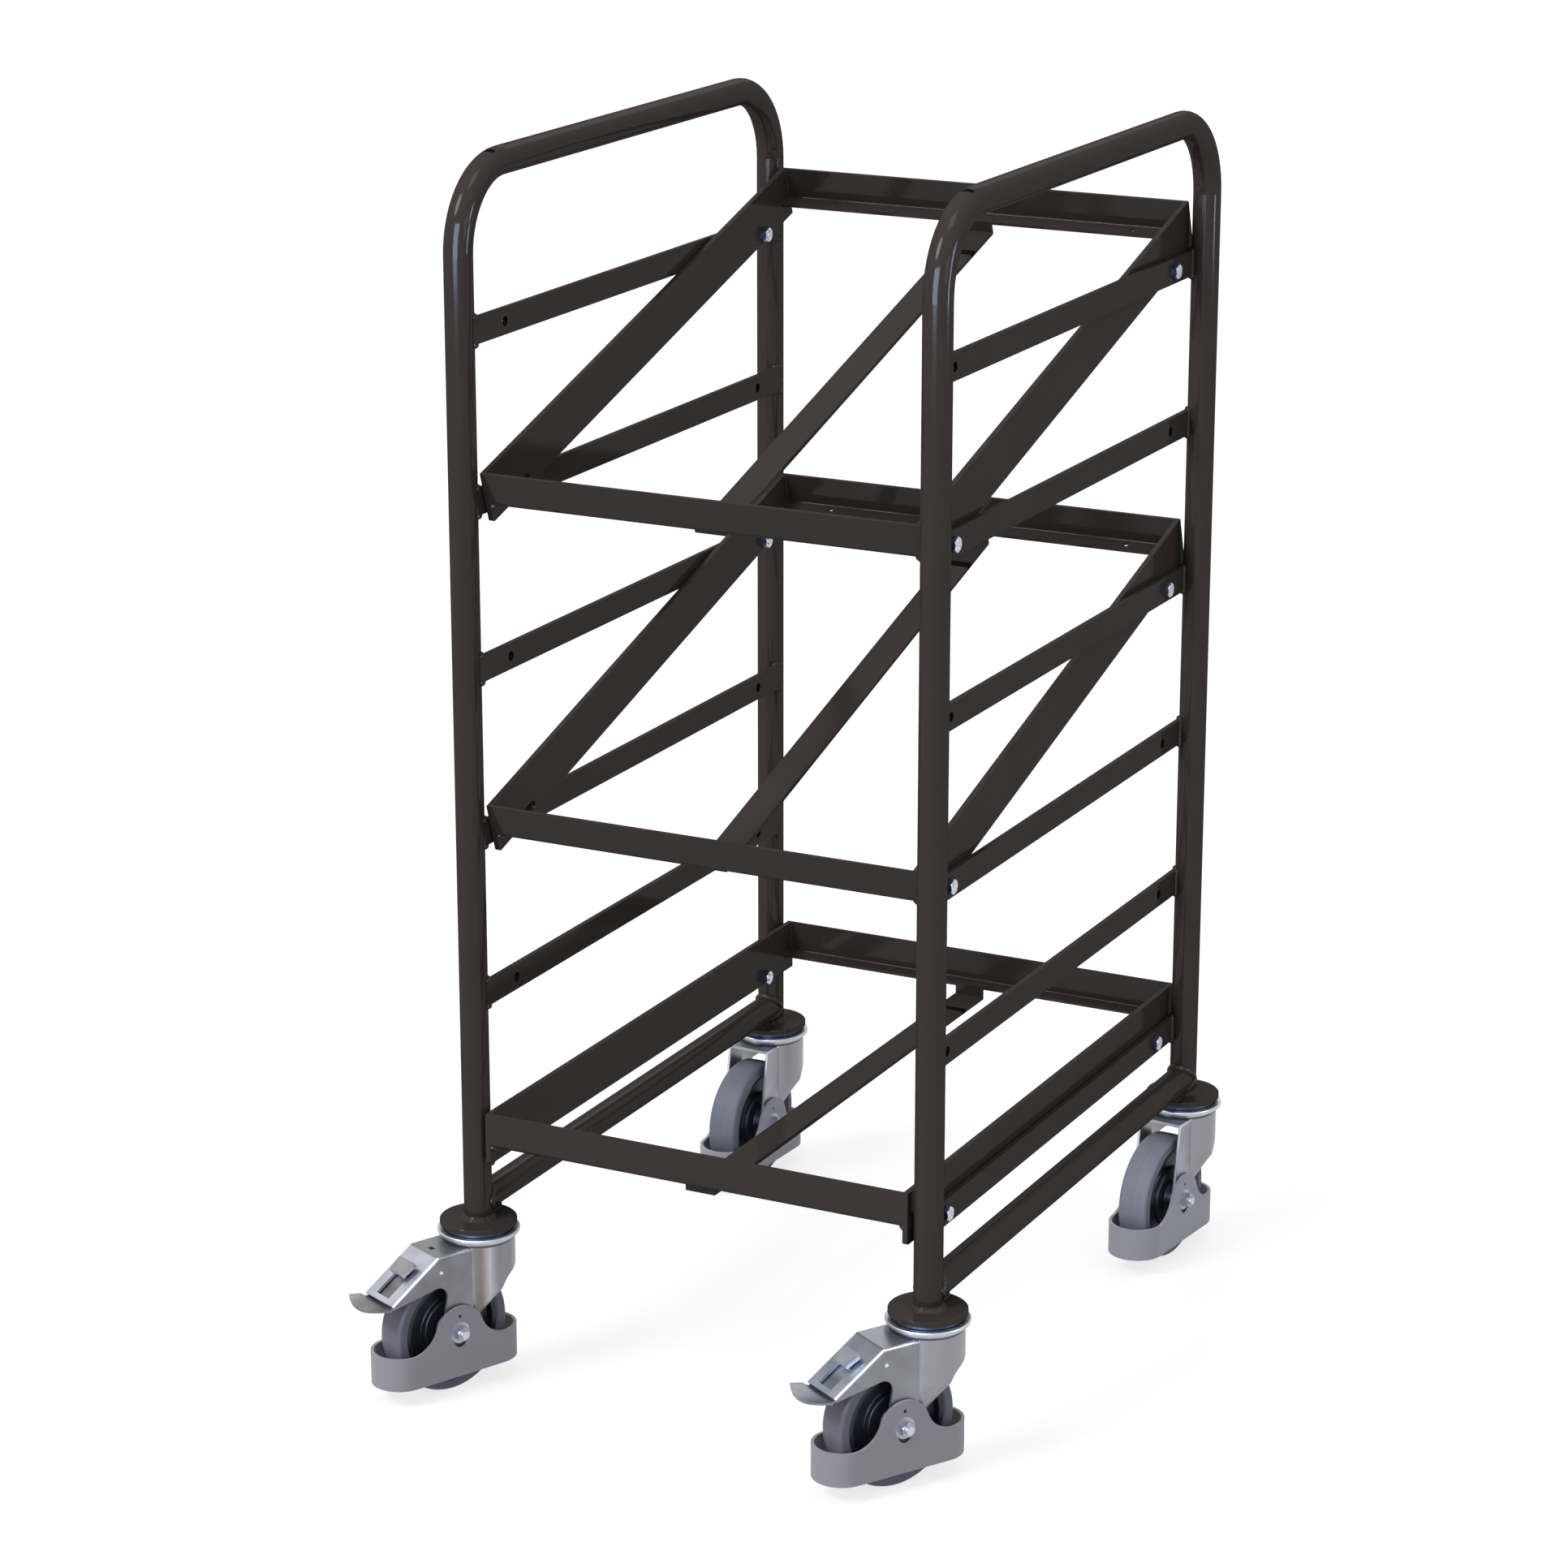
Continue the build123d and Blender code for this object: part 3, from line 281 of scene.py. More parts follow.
class Finish:
    """A principled material with patterns on Object coordinates."""

    def __init__(self, name, roughness, metallic=0.0, specular=0.5):
        self.material = bpy.data.materials.new(name)
        self.material.use_nodes = True
        tree = self.material.node_tree
        self.nodes, self.links = tree.nodes, tree.links
        self.shader = self.nodes["Principled BSDF"]
        self.shader.inputs["Roughness"].default_value = roughness
        self.shader.inputs["Metallic"].default_value = metallic
        self.shader.inputs["Specular IOR Level"].default_value = specular
        self.place = self.nodes.new("ShaderNodeTexCoord").outputs["Object"]

    def node(self, kind, inputs=(), **settings):
        """A node with its inputs linked or set, and its settings."""
        made = self.nodes.new("ShaderNode" + kind)
        for key, value in settings.items():
            setattr(made, key, value)
        for key, value in dict(inputs).items():
            if isinstance(value, bpy.types.NodeSocket):
                self.links.new(value, made.inputs[key])
            else:
                made.inputs[key].default_value = value
        return made

    def moved(self, origin=(0, 0, 0), turn=0.0, stretch=(1, 1, 1)):
        """Object coordinates from another origin, turned about the vertical, then stretched."""
        inputs = {"Vector": self.place, "Location": origin, "Rotation": (0, 0, turn)}
        placed = self.node("Mapping", inputs, vector_type="TEXTURE")
        return self.node("Mapping", {"Vector": placed.outputs[0], "Scale": stretch}).outputs[0]

    def split(self, at=None):
        """X, Y and Z of a vector, or of the Object coordinates."""
        return self.node("SeparateXYZ", {"Vector": self.place if at is None else at}).outputs

    def noise(self, scale, detail=2.0, at=None):
        """Cloudy values from 0 to 1, with about this many spots to the metre."""
        inputs = {"Vector": self.place if at is None else at, "Scale": scale, "Detail": detail}
        return self.node("TexNoise", inputs).outputs["Fac"]

    def grain(self, across, along, upwards, detail=2.0):
        """Cloudy values from 0 to 1 with another number of spots to the metre in each direction."""
        return self.noise(1.0, detail, self.moved(stretch=(across, along, upwards)))

    def ramp(self, value, low, high, start=0.0, end=1.0):
        """The value brought linearly from low-high to start-end, and kept within them."""
        inputs = {"Value": value, "From Min": low, "From Max": high, "To Min": start, "To Max": end}
        return self.node("MapRange", inputs).outputs[0]

    def below(self, value, low, high):
        """1 under the low value, 0 over the high one, and linear between."""
        return self.ramp(value, low, high, 1.0, 0.0)

    def between(self, share, first, second):
        """A colour between two by a share."""
        mixed = self.node("Mix", data_type="RGBA")
        self.links.new(share, mixed.inputs[0])
        for socket, colour in ((6, first), (7, second)):
            if isinstance(colour, bpy.types.NodeSocket):
                self.links.new(colour, mixed.inputs[socket])
            else:
                mixed.inputs[socket].default_value = (*colour, 1)
        return mixed.outputs[2]

    def mottled(self, share, colour, dark, light):
        """A colour between a darker and a lighter shade of itself by a share."""
        return self.between(share, shade(colour, dark), shade(colour, light))

    def bands(self, value, stops):
        """Colours along a value from 0 to 1, from (place, brightness, warmth) stops."""
        made = self.node("ValToRGB", {"Fac": value})
        points = made.color_ramp.elements
        while len(points) < len(stops):
            points.new(0.5)
        for point, (place, bright, warmth) in zip(points, stops):
            point.position = place
            point.color = (bright * (1 + warmth), bright * 0.975, bright * (1.03 - warmth), 1)
        return made.outputs["Color"]

    def maths(self, operation, first, second=0.0):
        """Sum, product or the like of two values."""
        return self.node("Math", {0: first, 1: second}, operation=operation).outputs[0]

    def distance(self, first, second):
        """Square root of the sum of two squares."""
        squares = [self.maths("MULTIPLY", value, value) for value in (first, second)]
        return self.maths("SQRT", self.maths("ADD", *squares))

    def lacquer(self, weight, roughness, index, where=None):
        """Clear gloss skin over the finish, or over the part of it marked 1."""
        skin_weight = self.shader.inputs["Coat Weight"]
        skin_weight.default_value = weight
        self.shader.inputs["Coat Roughness"].default_value = roughness
        self.shader.inputs["Coat IOR"].default_value = index
        if where is not None:
            self.links.new(self.maths("MULTIPLY", where, weight), skin_weight)

    def colour(self, socket):
        """Base colour from a pattern."""
        self.links.new(socket, self.shader.inputs["Base Color"])

    def rough(self, pattern, low, high, smooth, rough):
        """Roughness between two values, where a pattern goes from low to high."""
        self.links.new(self.ramp(pattern, low, high, smooth, rough), self.shader.inputs["Roughness"])

    def relief(self, height, depth):
        """Raised and sunk surface from a height of 0 to 1 and a depth in metres."""
        previous = self.shader.inputs["Normal"].links
        inputs = {"Height": height, "Strength": 1.0, "Distance": depth}
        if previous:
            inputs["Normal"] = previous[0].from_socket
        made = self.node("Bump", inputs)
        self.links.new(made.outputs[0], self.shader.inputs["Normal"])


def away_from_rail_holes(coat):
    """Distance of a point from the axis of the nearest drilled hole, across the hole."""
    _, along, height = coat.split()
    beside = coat.maths("SUBTRACT", coat.maths("ABSOLUTE", along), HOLE_HALF_SPACING)
    raised = coat.maths("SUBTRACT", height, LOWEST_RAIL + RAIL_HEIGHT / 2)
    return coat.distance(beside, coat.maths("PINGPONG", raised, RAIL_PITCH / 2))


def powder_coat():
    """Dark brown-grey powder coat: fine orange peel, faint clouds in tone, a thin gloss skin, and painted
    shade:
    near-black walls in the rails' drilled holes, where the gloss skin is left off."""
    coat = Finish("powder_coat", 0.5, specular=0.0)
    hole_shade_radius = 0.0046
    paint = coat.between(coat.noise(9.0, 3.0), (0.0402, 0.0313, 0.0285), (0.0460, 0.0362, 0.0328))
    # Painted shade: inside the rails' drilled holes the colour goes near black and the gloss skin is left
    # off.
    clear_of_hole_shade = coat.ramp(away_from_rail_holes(coat), hole_shade_radius, hole_shade_radius + 0.0003)
    coat.colour(coat.between(clear_of_hole_shade, (0.008, 0.007, 0.006), paint))
    coat.rough(coat.noise(55.0, 3.0), 0.3, 0.7, 0.42, 0.54)
    coat.relief(coat.noise(420.0, 1.0), 0.00004)
    coat.relief(coat.noise(1500.0, 2.0), 0.00001)
    coat.lacquer(0.036, 0.09, 4.0, clear_of_hole_shade)
    return coat.material


def weld_coat():
    """The same powder coat over weld beads, a little darker in patches."""
    coat = Finish("weld_coat", 0.45, specular=0.02)
    coat.colour(coat.between(coat.noise(160.0), (0.0340, 0.0265, 0.0241), (0.0430, 0.0338, 0.0307)))
    coat.rough(coat.noise(210.0), 0.35, 0.65, 0.36, 0.5)
    coat.relief(coat.noise(700.0), 0.00006)
    coat.lacquer(0.04, 0.12, 4.0)
    return coat.material


def castor_zinc(place):
    """Bright zinc on the pressed fork: painted light in the tones of the flat cheeks and duller top, a
    painted highlight on the bends and, round the swivel head, upright drawing streaks set by the angle about
    the swivel axis, with a painted highlight."""
    side, end, degrees = CASTORS[place]
    tones = FORK_TONES[place]
    zinc = Finish("castor_zinc_" + place, 0.36, metallic=1.0)
    axis = (side * UPRIGHT_X, end * UPRIGHT_Y, 0)
    sideways, along, height = zinc.split(zinc.moved(axis, math.radians(degrees)))
    across = zinc.maths("ABSOLUTE", sideways)
    patches = zinc.noise(42.0, 4.0)
    # Painted light: the cheek, slope and top tones of each castor are lit and shaded copies of one zinc.
    cheek = zinc.mottled(zinc.ramp(patches, 0.35, 0.65), tones["cheek"], 0.88, 1.1)
    slope = zinc.mottled(zinc.ramp(patches, 0.4, 0.6), tones["slope"], 0.92, 1.08)
    level = zinc.ramp(height, FORK_TOP - 0.0015, FORK_TOP - 0.0005)
    top = zinc.between(level, slope, tones["top"])
    bend_start, bend_end = CHEEK - 0.0022, CHEEK - 0.0006
    flat = zinc.between(zinc.ramp(across, bend_start, bend_end), top, cheek)
    # Painted highlight: a light band along the fold of each bend.
    rising = zinc.ramp(across, bend_start, bend_start + 0.0009)
    bend_highlight = zinc.maths("MULTIPLY", rising, zinc.below(across, bend_end, bend_end + 0.0004))
    flat = zinc.between(zinc.maths("MULTIPLY", bend_highlight, 0.7), flat, (0.80, 0.81, 0.84))
    angle = zinc.node("TexGradient", {"Vector": zinc.moved(axis)}, gradient_type="RADIAL").outputs["Fac"]
    sway = zinc.ramp(zinc.grain(60.0, 60.0, 14.0, detail=3.0), 0.3, 0.7, -0.008, 0.008)
    # On the front left castor the streaks carry a painted highlight.
    streaks_and_highlight = zinc.bands(zinc.maths("ADD", angle, sway), tones["streaks_and_highlight"])
    head = zinc.ramp(along, -FORK_CREASE - 0.0012, -FORK_CREASE + 0.0014)
    zinc.colour(zinc.between(head, flat, streaks_and_highlight))
    drawn = zinc.grain(900.0, 900.0, 160.0)
    zinc.rough(zinc.maths("ADD", drawn, patches), 0.6, 1.4, 0.28, 0.44)
    zinc.relief(drawn, 0.000014)
    zinc.relief(zinc.noise(120.0), 0.00005)
    return zinc.material


def ring_zinc():
    """Bright zinc of the swivel ring: a light rolled lip over a neck darkened with painted shade."""
    neck_shade_top = 0.1445
    zinc = Finish("ring_zinc", 0.3, metallic=1.0)
    _, _, height = zinc.split()
    lip = zinc.between(zinc.noise(24.0), (0.42, 0.43, 0.45), (0.52, 0.525, 0.54))
    # Painted shade: a dark band under the lip.
    zinc.colour(zinc.between(zinc.ramp(height, neck_shade_top, neck_shade_top + 0.0011), (0.08, 0.083, 0.095), lip))
    zinc.rough(zinc.noise(60.0), 0.3, 0.7, 0.34, 0.42)
    return zinc.material


def shaded_race_steel():
    """Hardened steel of the fixed races, coloured dark blue as painted shade under the castor plate."""
    steel = Finish("shaded_race_steel", 0.36, metallic=0.7)
    # Painted shade: dark blue-black for the shade under the castor plate.
    steel.colour(steel.between(steel.noise(80.0, 3.0), (0.040, 0.056, 0.096), (0.068, 0.090, 0.142)))
    return steel.material


def lever_zinc(name, pedal, tab):
    """Zinc with a fine rolled grain: one colour on the pedal low down, another on the release tab above (a
    lighter tab colour is painted light).
    """
    pedal_top, tab_bottom = 0.113, 0.119
    zinc = Finish(name, 0.34, metallic=1.0)
    _, _, height = zinc.split()
    patches = zinc.ramp(zinc.noise(60.0, 3.0), 0.35, 0.65)
    low = zinc.mottled(patches, pedal, 0.88, 1.1)
    high = zinc.mottled(patches, tab, 0.9, 1.08)
    zinc.colour(zinc.between(zinc.ramp(height, pedal_top, tab_bottom), low, high))
    rolled = zinc.grain(700.0, 200.0, 700.0)
    zinc.rough(rolled, 0.3, 0.7, 0.28, 0.42)
    zinc.relief(rolled, 0.000016)
    return zinc.material


def shelf_zinc():
    """Zinc-plated shelf fasteners with a blue passivation: end faces painted bright and flanks painted dark,
    as light falls on them.
    """
    zinc = Finish("shelf_zinc", 0.3, metallic=0.9)
    sideways, _, _ = zinc.split()
    across = zinc.maths("ABSOLUTE", sideways)
    outside = zinc.ramp(across, HEAD_FACE - 0.0012, HEAD_FACE - 0.0004)
    inside = zinc.below(across, NUT_FACE + 0.0004, NUT_FACE + 0.0012)
    spots = zinc.ramp(zinc.noise(420.0, 3.0), 0.40, 0.62)
    bright = zinc.between(spots, (0.33, 0.35, 0.42), (0.66, 0.67, 0.72))
    flank = zinc.between(spots, (0.05, 0.07, 0.15), (0.13, 0.16, 0.27))
    # Painted light: the end faces get a light colour and the flanks a dark one; the blue tint is the
    # passivation.
    zinc.colour(zinc.between(zinc.maths("MAXIMUM", outside, inside), flank, bright))
    zinc.rough(zinc.noise(900.0), 0.3, 0.7, 0.24, 0.40)
    zinc.relief(zinc.noise(1300.0), 0.00002)
    return zinc.material


def castor_frame(place):
    """Middle of a castor's axle and its turn, in the trolley's frame."""
    side, end, degrees = CASTORS[place]
    turn = math.radians(degrees)
    x = side * UPRIGHT_X + TRAIL * math.sin(turn)
    y = end * UPRIGHT_Y - TRAIL * math.cos(turn)
    return (x, y, WHEEL_RADIUS), turn


def wheel_coordinates(finish, place):
    """Distance from the wheel's middle plane and from its axle, in metres."""
    sideways, along, height = finish.split(finish.moved(*castor_frame(place)))
    return finish.maths("ABSOLUTE", sideways), finish.distance(along, height)


def axle_zinc(place):
    """Zinc-plated axle bolt: a greyer washer, a brighter nut and head, and the brightest bolt end."""
    step = 0.0002
    zinc = Finish("axle_zinc_" + place, 0.3, metallic=1.0)
    across, _ = wheel_coordinates(zinc, place)
    nut = zinc.between(zinc.noise(70.0, 3.0), (0.31, 0.315, 0.345), (0.37, 0.375, 0.405))
    past_washer = zinc.ramp(across, AXLE_WASHER_FACE - step, AXLE_WASHER_FACE)
    past_nut = zinc.ramp(across, AXLE_NUT_FACE, AXLE_NUT_FACE + step)
    washer_and_nut = zinc.between(past_washer, (0.20, 0.20, 0.22), nut)
    zinc.colour(zinc.between(past_nut, washer_and_nut, (0.50, 0.51, 0.54)))
    zinc.rough(zinc.noise(90.0), 0.3, 0.7, 0.38, 0.46)
    return zinc.material


def guard_moulding(place):
    """Matt grey moulded plastic with a fine spark-eroded grain and faint flow marks, in a tone for each
    castor that is painted light, and painted shade in the notch under the axle washer."""
    guard = Finish("guard_moulding_" + place, 0.55, specular=0.3)
    plastic = guard.mottled(guard.grain(14.0, 14.0, 40.0), GUARD_TONES[place], 0.94, 1.06)
    across, radius = wheel_coordinates(guard, place)
    sunk = guard.maths(
        "MULTIPLY",
        guard.ramp(across, NOTCH_INSIDE, NOTCH_INSIDE + 0.0002),
        guard.below(across, NOTCH_OUTSIDE - 0.0003, NOTCH_OUTSIDE),
    )
    # Painted shade: the floor of the notch under the axle washer is coloured near black.
    notch_shade = guard.maths("MULTIPLY", sunk, guard.below(radius, NOTCH_RADIUS - 0.0006, NOTCH_RADIUS))
    guard.colour(guard.between(notch_shade, plastic, (0.05, 0.05, 0.055)))
    guard.rough(guard.noise(240.0), 0.3, 0.7, 0.48, 0.62)
    guard.relief(guard.noise(2200.0), 0.00002)
    return guard.material


def grey_tyre(place):
    """Grey rubber with a fine moulding seam round the tread and a slightly scuffed running face, in a tone
    for each castor that is painted light.
    """
    tyre = Finish("grey_tyre_" + place, 0.6, specular=0.35)
    across, radius = wheel_coordinates(tyre, place)
    scuffs = tyre.noise(70.0, 4.0)
    flank = tyre.between(scuffs, (0.105, 0.109, 0.143), (0.140, 0.143, 0.178))
    # Painted light in each castor's tread tone, with real scuffs mottled over it.
    worn_lit_tread = tyre.mottled(scuffs, TREAD_TONES[place], 0.88, 1.12)
    rubber = tyre.between(tyre.ramp(radius, WHEEL_RADIUS - 0.004, WHEEL_RADIUS - 0.001), flank, worn_lit_tread)
    seam = tyre.below(across, 0.0002, 0.0009)
    tyre.colour(tyre.between(tyre.maths("MULTIPLY", seam, 0.16), rubber, (0.10, 0.10, 0.125)))
    tyre.rough(scuffs, 0.3, 0.7, 0.5, 0.68)
    tyre.relief(tyre.noise(1100.0), 0.00003)
    tyre.relief(seam, 0.00005)
    return tyre.material


def dark_hub(place):
    """Glossy blue-black moulded hub with faint turned rings."""
    hub = Finish("dark_hub_" + place, 0.34, specular=0.3)
    _, radius = wheel_coordinates(hub, place)
    clouds = hub.noise(60.0)
    hub.colour(hub.between(clouds, (0.015, 0.017, 0.025), (0.023, 0.026, 0.038)))
    outwards = hub.node("CombineXYZ", {"X": radius}).outputs[0]
    rings = hub.node("TexWave", {"Vector": outwards, "Scale": 120.0}).outputs["Fac"]
    hub.relief(rings, 0.000004)
    hub.rough(clouds, 0.3, 0.7, 0.26, 0.38)
    return hub.material


def shoe_rubber():
    """Dark moulded rubber of the brake shoe."""
    shoe = Finish("shoe_rubber", 0.7, specular=0.3)
    shoe.colour(shoe.between(shoe.noise(200.0), (0.012, 0.012, 0.013), (0.022, 0.022, 0.024)))
    shoe.relief(shoe.noise(900.0), 0.00003)
    return shoe.material


def dress_nodes(finishes):
    """Each carried-over node takes the finish of its name, or of its name without the castor's."""
    for name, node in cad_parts.items():
        place = next((castor for castor in CASTORS if name.startswith(castor)), None)
        kind = name[len(place) + 1 :] if place else name
        finish = finishes.get(name) or finishes.get(kind) or finishes["coat"]
        if callable(finish):
            finish = finish(place)
        node.data.materials.clear()
        node.data.materials.append(finish)


# Weld beads and threads

def full_turn(count):
    """Angles an even step apart round a circle."""
    return np.linspace(0, 2 * np.pi, count, endpoint=False)


def skin(name, grids, body, finish, closed=True):
    """One piece from grids of points (rows along, columns round). Quads join neighbours, columns wrap round,
    rows wrap too where the path is closed, and otherwise both ends are capped by one face."""
    points, faces, start = [], [], 0
    for grid in grids:
        rows, columns = grid.shape[:2]
        last = rows if closed else rows - 1
        row, column = np.meshgrid(np.arange(last), np.arange(columns), indexing="ij")
        above, beside = (row + 1) % rows, (column + 1) % columns
        corners = [(row, column), (row, beside), (above, beside), (above, column)]
        quads = np.stack([r * columns + c for r, c in corners], axis=-1).reshape(-1, 4)
        flat = grid.reshape(-1, 3)
        middle = flat.mean(axis=0)
        a, b, c, d = (flat[quads[:, k]] - middle for k in range(4))
        volume = (a * np.cross(b, c)).sum() + (a * np.cross(c, d)).sum()
        if volume < 0:
            quads = quads[:, ::-1]
        found = (quads + start).tolist()
        if not closed:
            ends = [np.arange(columns)[::-1], np.arange(columns) + (rows - 1) * columns]
            if volume < 0:
                ends = [end[::-1] for end in ends]
            found += [(end + start).tolist() for end in ends]
        points.append(flat)
        faces += found
        start += len(flat)
    mesh = bpy.data.meshes.new(name)
    mesh.from_pydata(np.concatenate(points).tolist(), [], faces)
    mesh.polygons.foreach_set("use_smooth", np.ones(len(mesh.polygons), bool))
    mesh.materials.append(finish)
    mesh.update()
    made = bpy.data.objects.new(name, mesh)
    bpy.context.scene.collection.objects.link(made)
    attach(made, body)


def painted_welds(name, grids, finish, closed=True):
    """A piece of weld beads that stays with the frame."""
    skin(name, grids, "frame", finish, closed)


def spaced(points, step, closed):
    """Points an even distance apart on a run of straight pieces, with each corner eased by averaging
    neighbours."""
    run = np.vstack([points, points[:1]]) if closed else np.asarray(points, float)
    gaps = np.linalg.norm(np.diff(run, axis=0), axis=1)
    along = np.concatenate([[0], np.cumsum(gaps)])
    count = max(8, int(round(along[-1] / step)))
    at = np.linspace(0, along[-1], count + (0 if closed else 1), endpoint=not closed)
    line = np.stack([np.interp(at, along, run[:, k]) for k in range(3)], axis=1)
    for _ in range(3):
        near = (np.roll(line, 1, axis=0) + 2 * line + np.roll(line, -1, axis=0)) / 4
        if not closed:
            near[0], near[-1] = line[0], line[-1]
        line = near
    return line


def bead(points, outward, radius, closed=True, ripple=0.13, pitch=0.0021, step=0.00052, columns=10):
    """Weld bead: a circle carried along a path C(s), P = C + r (cos a N + sin a B).
    r = R (1 - ripple cos(pi s / pitch)^2), which gives the ripples, and where the path is open r falls
    to 0.35 R at both ends on a quarter circle. N is the outward vector made square to the path, B = T x N.
    R is one size, or several sizes spaced evenly along the path and joined by straight lines."""
    line = spaced(np.asarray(points, float), step, closed)
    if closed:
        tangent = np.roll(line, -1, axis=0) - np.roll(line, 1, axis=0)
    else:
        tangent = np.gradient(line, axis=0)
    tangent /= np.linalg.norm(tangent, axis=1)[:, None]
    normal = outward(line) if callable(outward) else np.broadcast_to(outward, line.shape)
    normal = normal - (normal * tangent).sum(axis=1)[:, None] * tangent
    normal = normal / np.linalg.norm(normal, axis=1)[:, None]
    binormal = np.cross(tangent, normal)
    s = np.arange(len(line)) * step
    length = s[-1]
    sizes = np.atleast_1d(radius)
    radius = np.interp(s / length, np.linspace(0, 1, len(sizes)), sizes)
    size = radius * (1 - ripple * np.cos(np.pi * s / pitch) ** 2)
    if not closed:
        to_end = np.clip(np.minimum(s, length - s) / (1.2 * radius), 0, 1)
        size = size * (0.35 + 0.65 * np.sqrt(1 - (1 - to_end) ** 2))
    angle = full_turn(columns)[None, :, None]
    ring = np.cos(angle) * normal[:, None] + np.sin(angle) * binormal[:, None]
    return line[:, None] + size[:, None, None] * ring


def out_from(centre, axes):
    """Function for the direction out from a centre at each point of a line, along the axes marked 1."""
    return lambda line: (line - centre) * axes


def foot_welds(finish):
    """Ring of weld round the foot of each upright, in the corner between tube and castor plate."""
    ring_radius, bead_radius, raised = 0.0139, 0.0024, 0.0004
    angle = full_turn(90)
    height = np.full(len(angle), PLATE_TOP + raised)
    ring = np.stack([ring_radius * np.cos(angle), ring_radius * np.sin(angle), height], axis=1)
    grids = []
    for side in (-1, 1):
        for end in (-1, 1):
            centre = np.array([side * UPRIGHT_X, end * UPRIGHT_Y, 0])
            away = out_from(centre, (1, 1, 0))
            grids.append(bead(ring + centre, away, bead_radius, ripple=0.06, pitch=0.0034))
    painted_welds("foot_welds", grids, finish)


def rail_end_welds(side, finish):
    """Weld round three sides of each rail's end, under it, outside it and over it: a path on the upright's
    surface, P = axis + R (cos a inward + sin a along), with a from the inner face to the outer edge."""
    count = 9
    inner_face, outer_edge = 4, 48.5
    sizes = (0.0034, 0.0033, 0.0029, 0.0028, 0.0025)
    sweep = np.radians(np.linspace(inner_face, outer_edge, count))
    angles = np.concatenate([sweep, sweep[::-1]])[:, None]
    inward = np.array([-side, 0, 0])
    grids = []
    for index in range(RAIL_COUNT):
        low = LOWEST_RAIL + index * RAIL_PITCH
        heights = np.concatenate([np.full(count, low - 0.0004), np.full(count, low + RAIL_HEIGHT)])
        for end in (-1, 1):
            axis = np.array([side * UPRIGHT_X, end * UPRIGHT_Y, 0])
            along = np.array([0, -end, 0])
            path = axis + (TUBE_RADIUS + 0.0003) * (np.cos(angles) * inward + np.sin(angles) * along)
            path[:, 2] = heights
            grids.append(bead(path, out_from(axis, (1, 1, 0)), sizes, closed=False, ripple=0.2))
    name = ("left" if side < 0 else "right") + "_rail_end_welds"
    painted_welds(name, grids, finish, closed=False)


def base_tube_welds(finish):
    """Weld round each end of the base tubes, where two equal cylinders cross:
    x = x0 + R sin t, z = z0 + R cos t, y = y0 + inward R sqrt(cos(t)^2 + 0.02)."""
    t = full_turn(120)
    sizes = 0.0026 + 0.0015 * np.clip(np.cos(np.append(t, 0)), 0, 1) ** 2
    reach = UPRIGHT_Y - TUBE_RADIUS * np.sqrt(np.cos(t) ** 2 + 0.02)
    height = BASE_TUBE_HEIGHT + TUBE_RADIUS * np.cos(t)
    grids = []
    for side in (-1, 1):
        for end in (-1, 1):
            saddle = np.stack([side * UPRIGHT_X + TUBE_RADIUS * np.sin(t), end * reach, height], axis=1)
            centre = np.array([side * UPRIGHT_X, 0, BASE_TUBE_HEIGHT])
            grids.append(bead(saddle, out_from(centre, (1, 0, 1)), sizes, ripple=0.06, pitch=0.003))
    painted_welds("base_tube_welds", grids, finish)


def pad_welds(finish):
    """Small weld round the three open sides of each pad under a base tube."""
    grids = []
    for side in (-1, 1):
        for end in (-1, 1):
            x, y = side * UPRIGHT_X, end * UPRIGHT_Y
            left, right = x - PAD_HALF_WIDTH, x + PAD_HALF_WIDTH
            near, far = y - end * PAD_START, y - end * PAD_END
            run = [(a, b, PLATE_TOP) for a, b in ((left, near), (left, far), (right, far), (right, near))]
            grids.append(bead(run, np.array([0, 0, 1.0]), 0.0015, closed=False, pitch=0.0018))
    painted_welds("pad_welds", grids, finish, closed=False)


def shelf_matrix(name):
    """Turn and place of a shelf, from its own axes at the rear bolts to the trolley's."""
    rear, front = SHELVES[name]
    tilt = math.atan2((rear - front) * RAIL_PITCH, 2 * HOLE_HALF_SPACING)
    height = LOWEST_RAIL + rear * RAIL_PITCH + RAIL_HEIGHT / 2
    return Matrix.Translation((0, HOLE_HALF_SPACING, height)) @ Matrix.Rotation(tilt, 4, "X")


def placed(grid, matrix):
    """Grid of points turned and moved by a matrix."""
    m = np.array(matrix)
    return grid @ m[:3, :3].T + m[:3, 3]


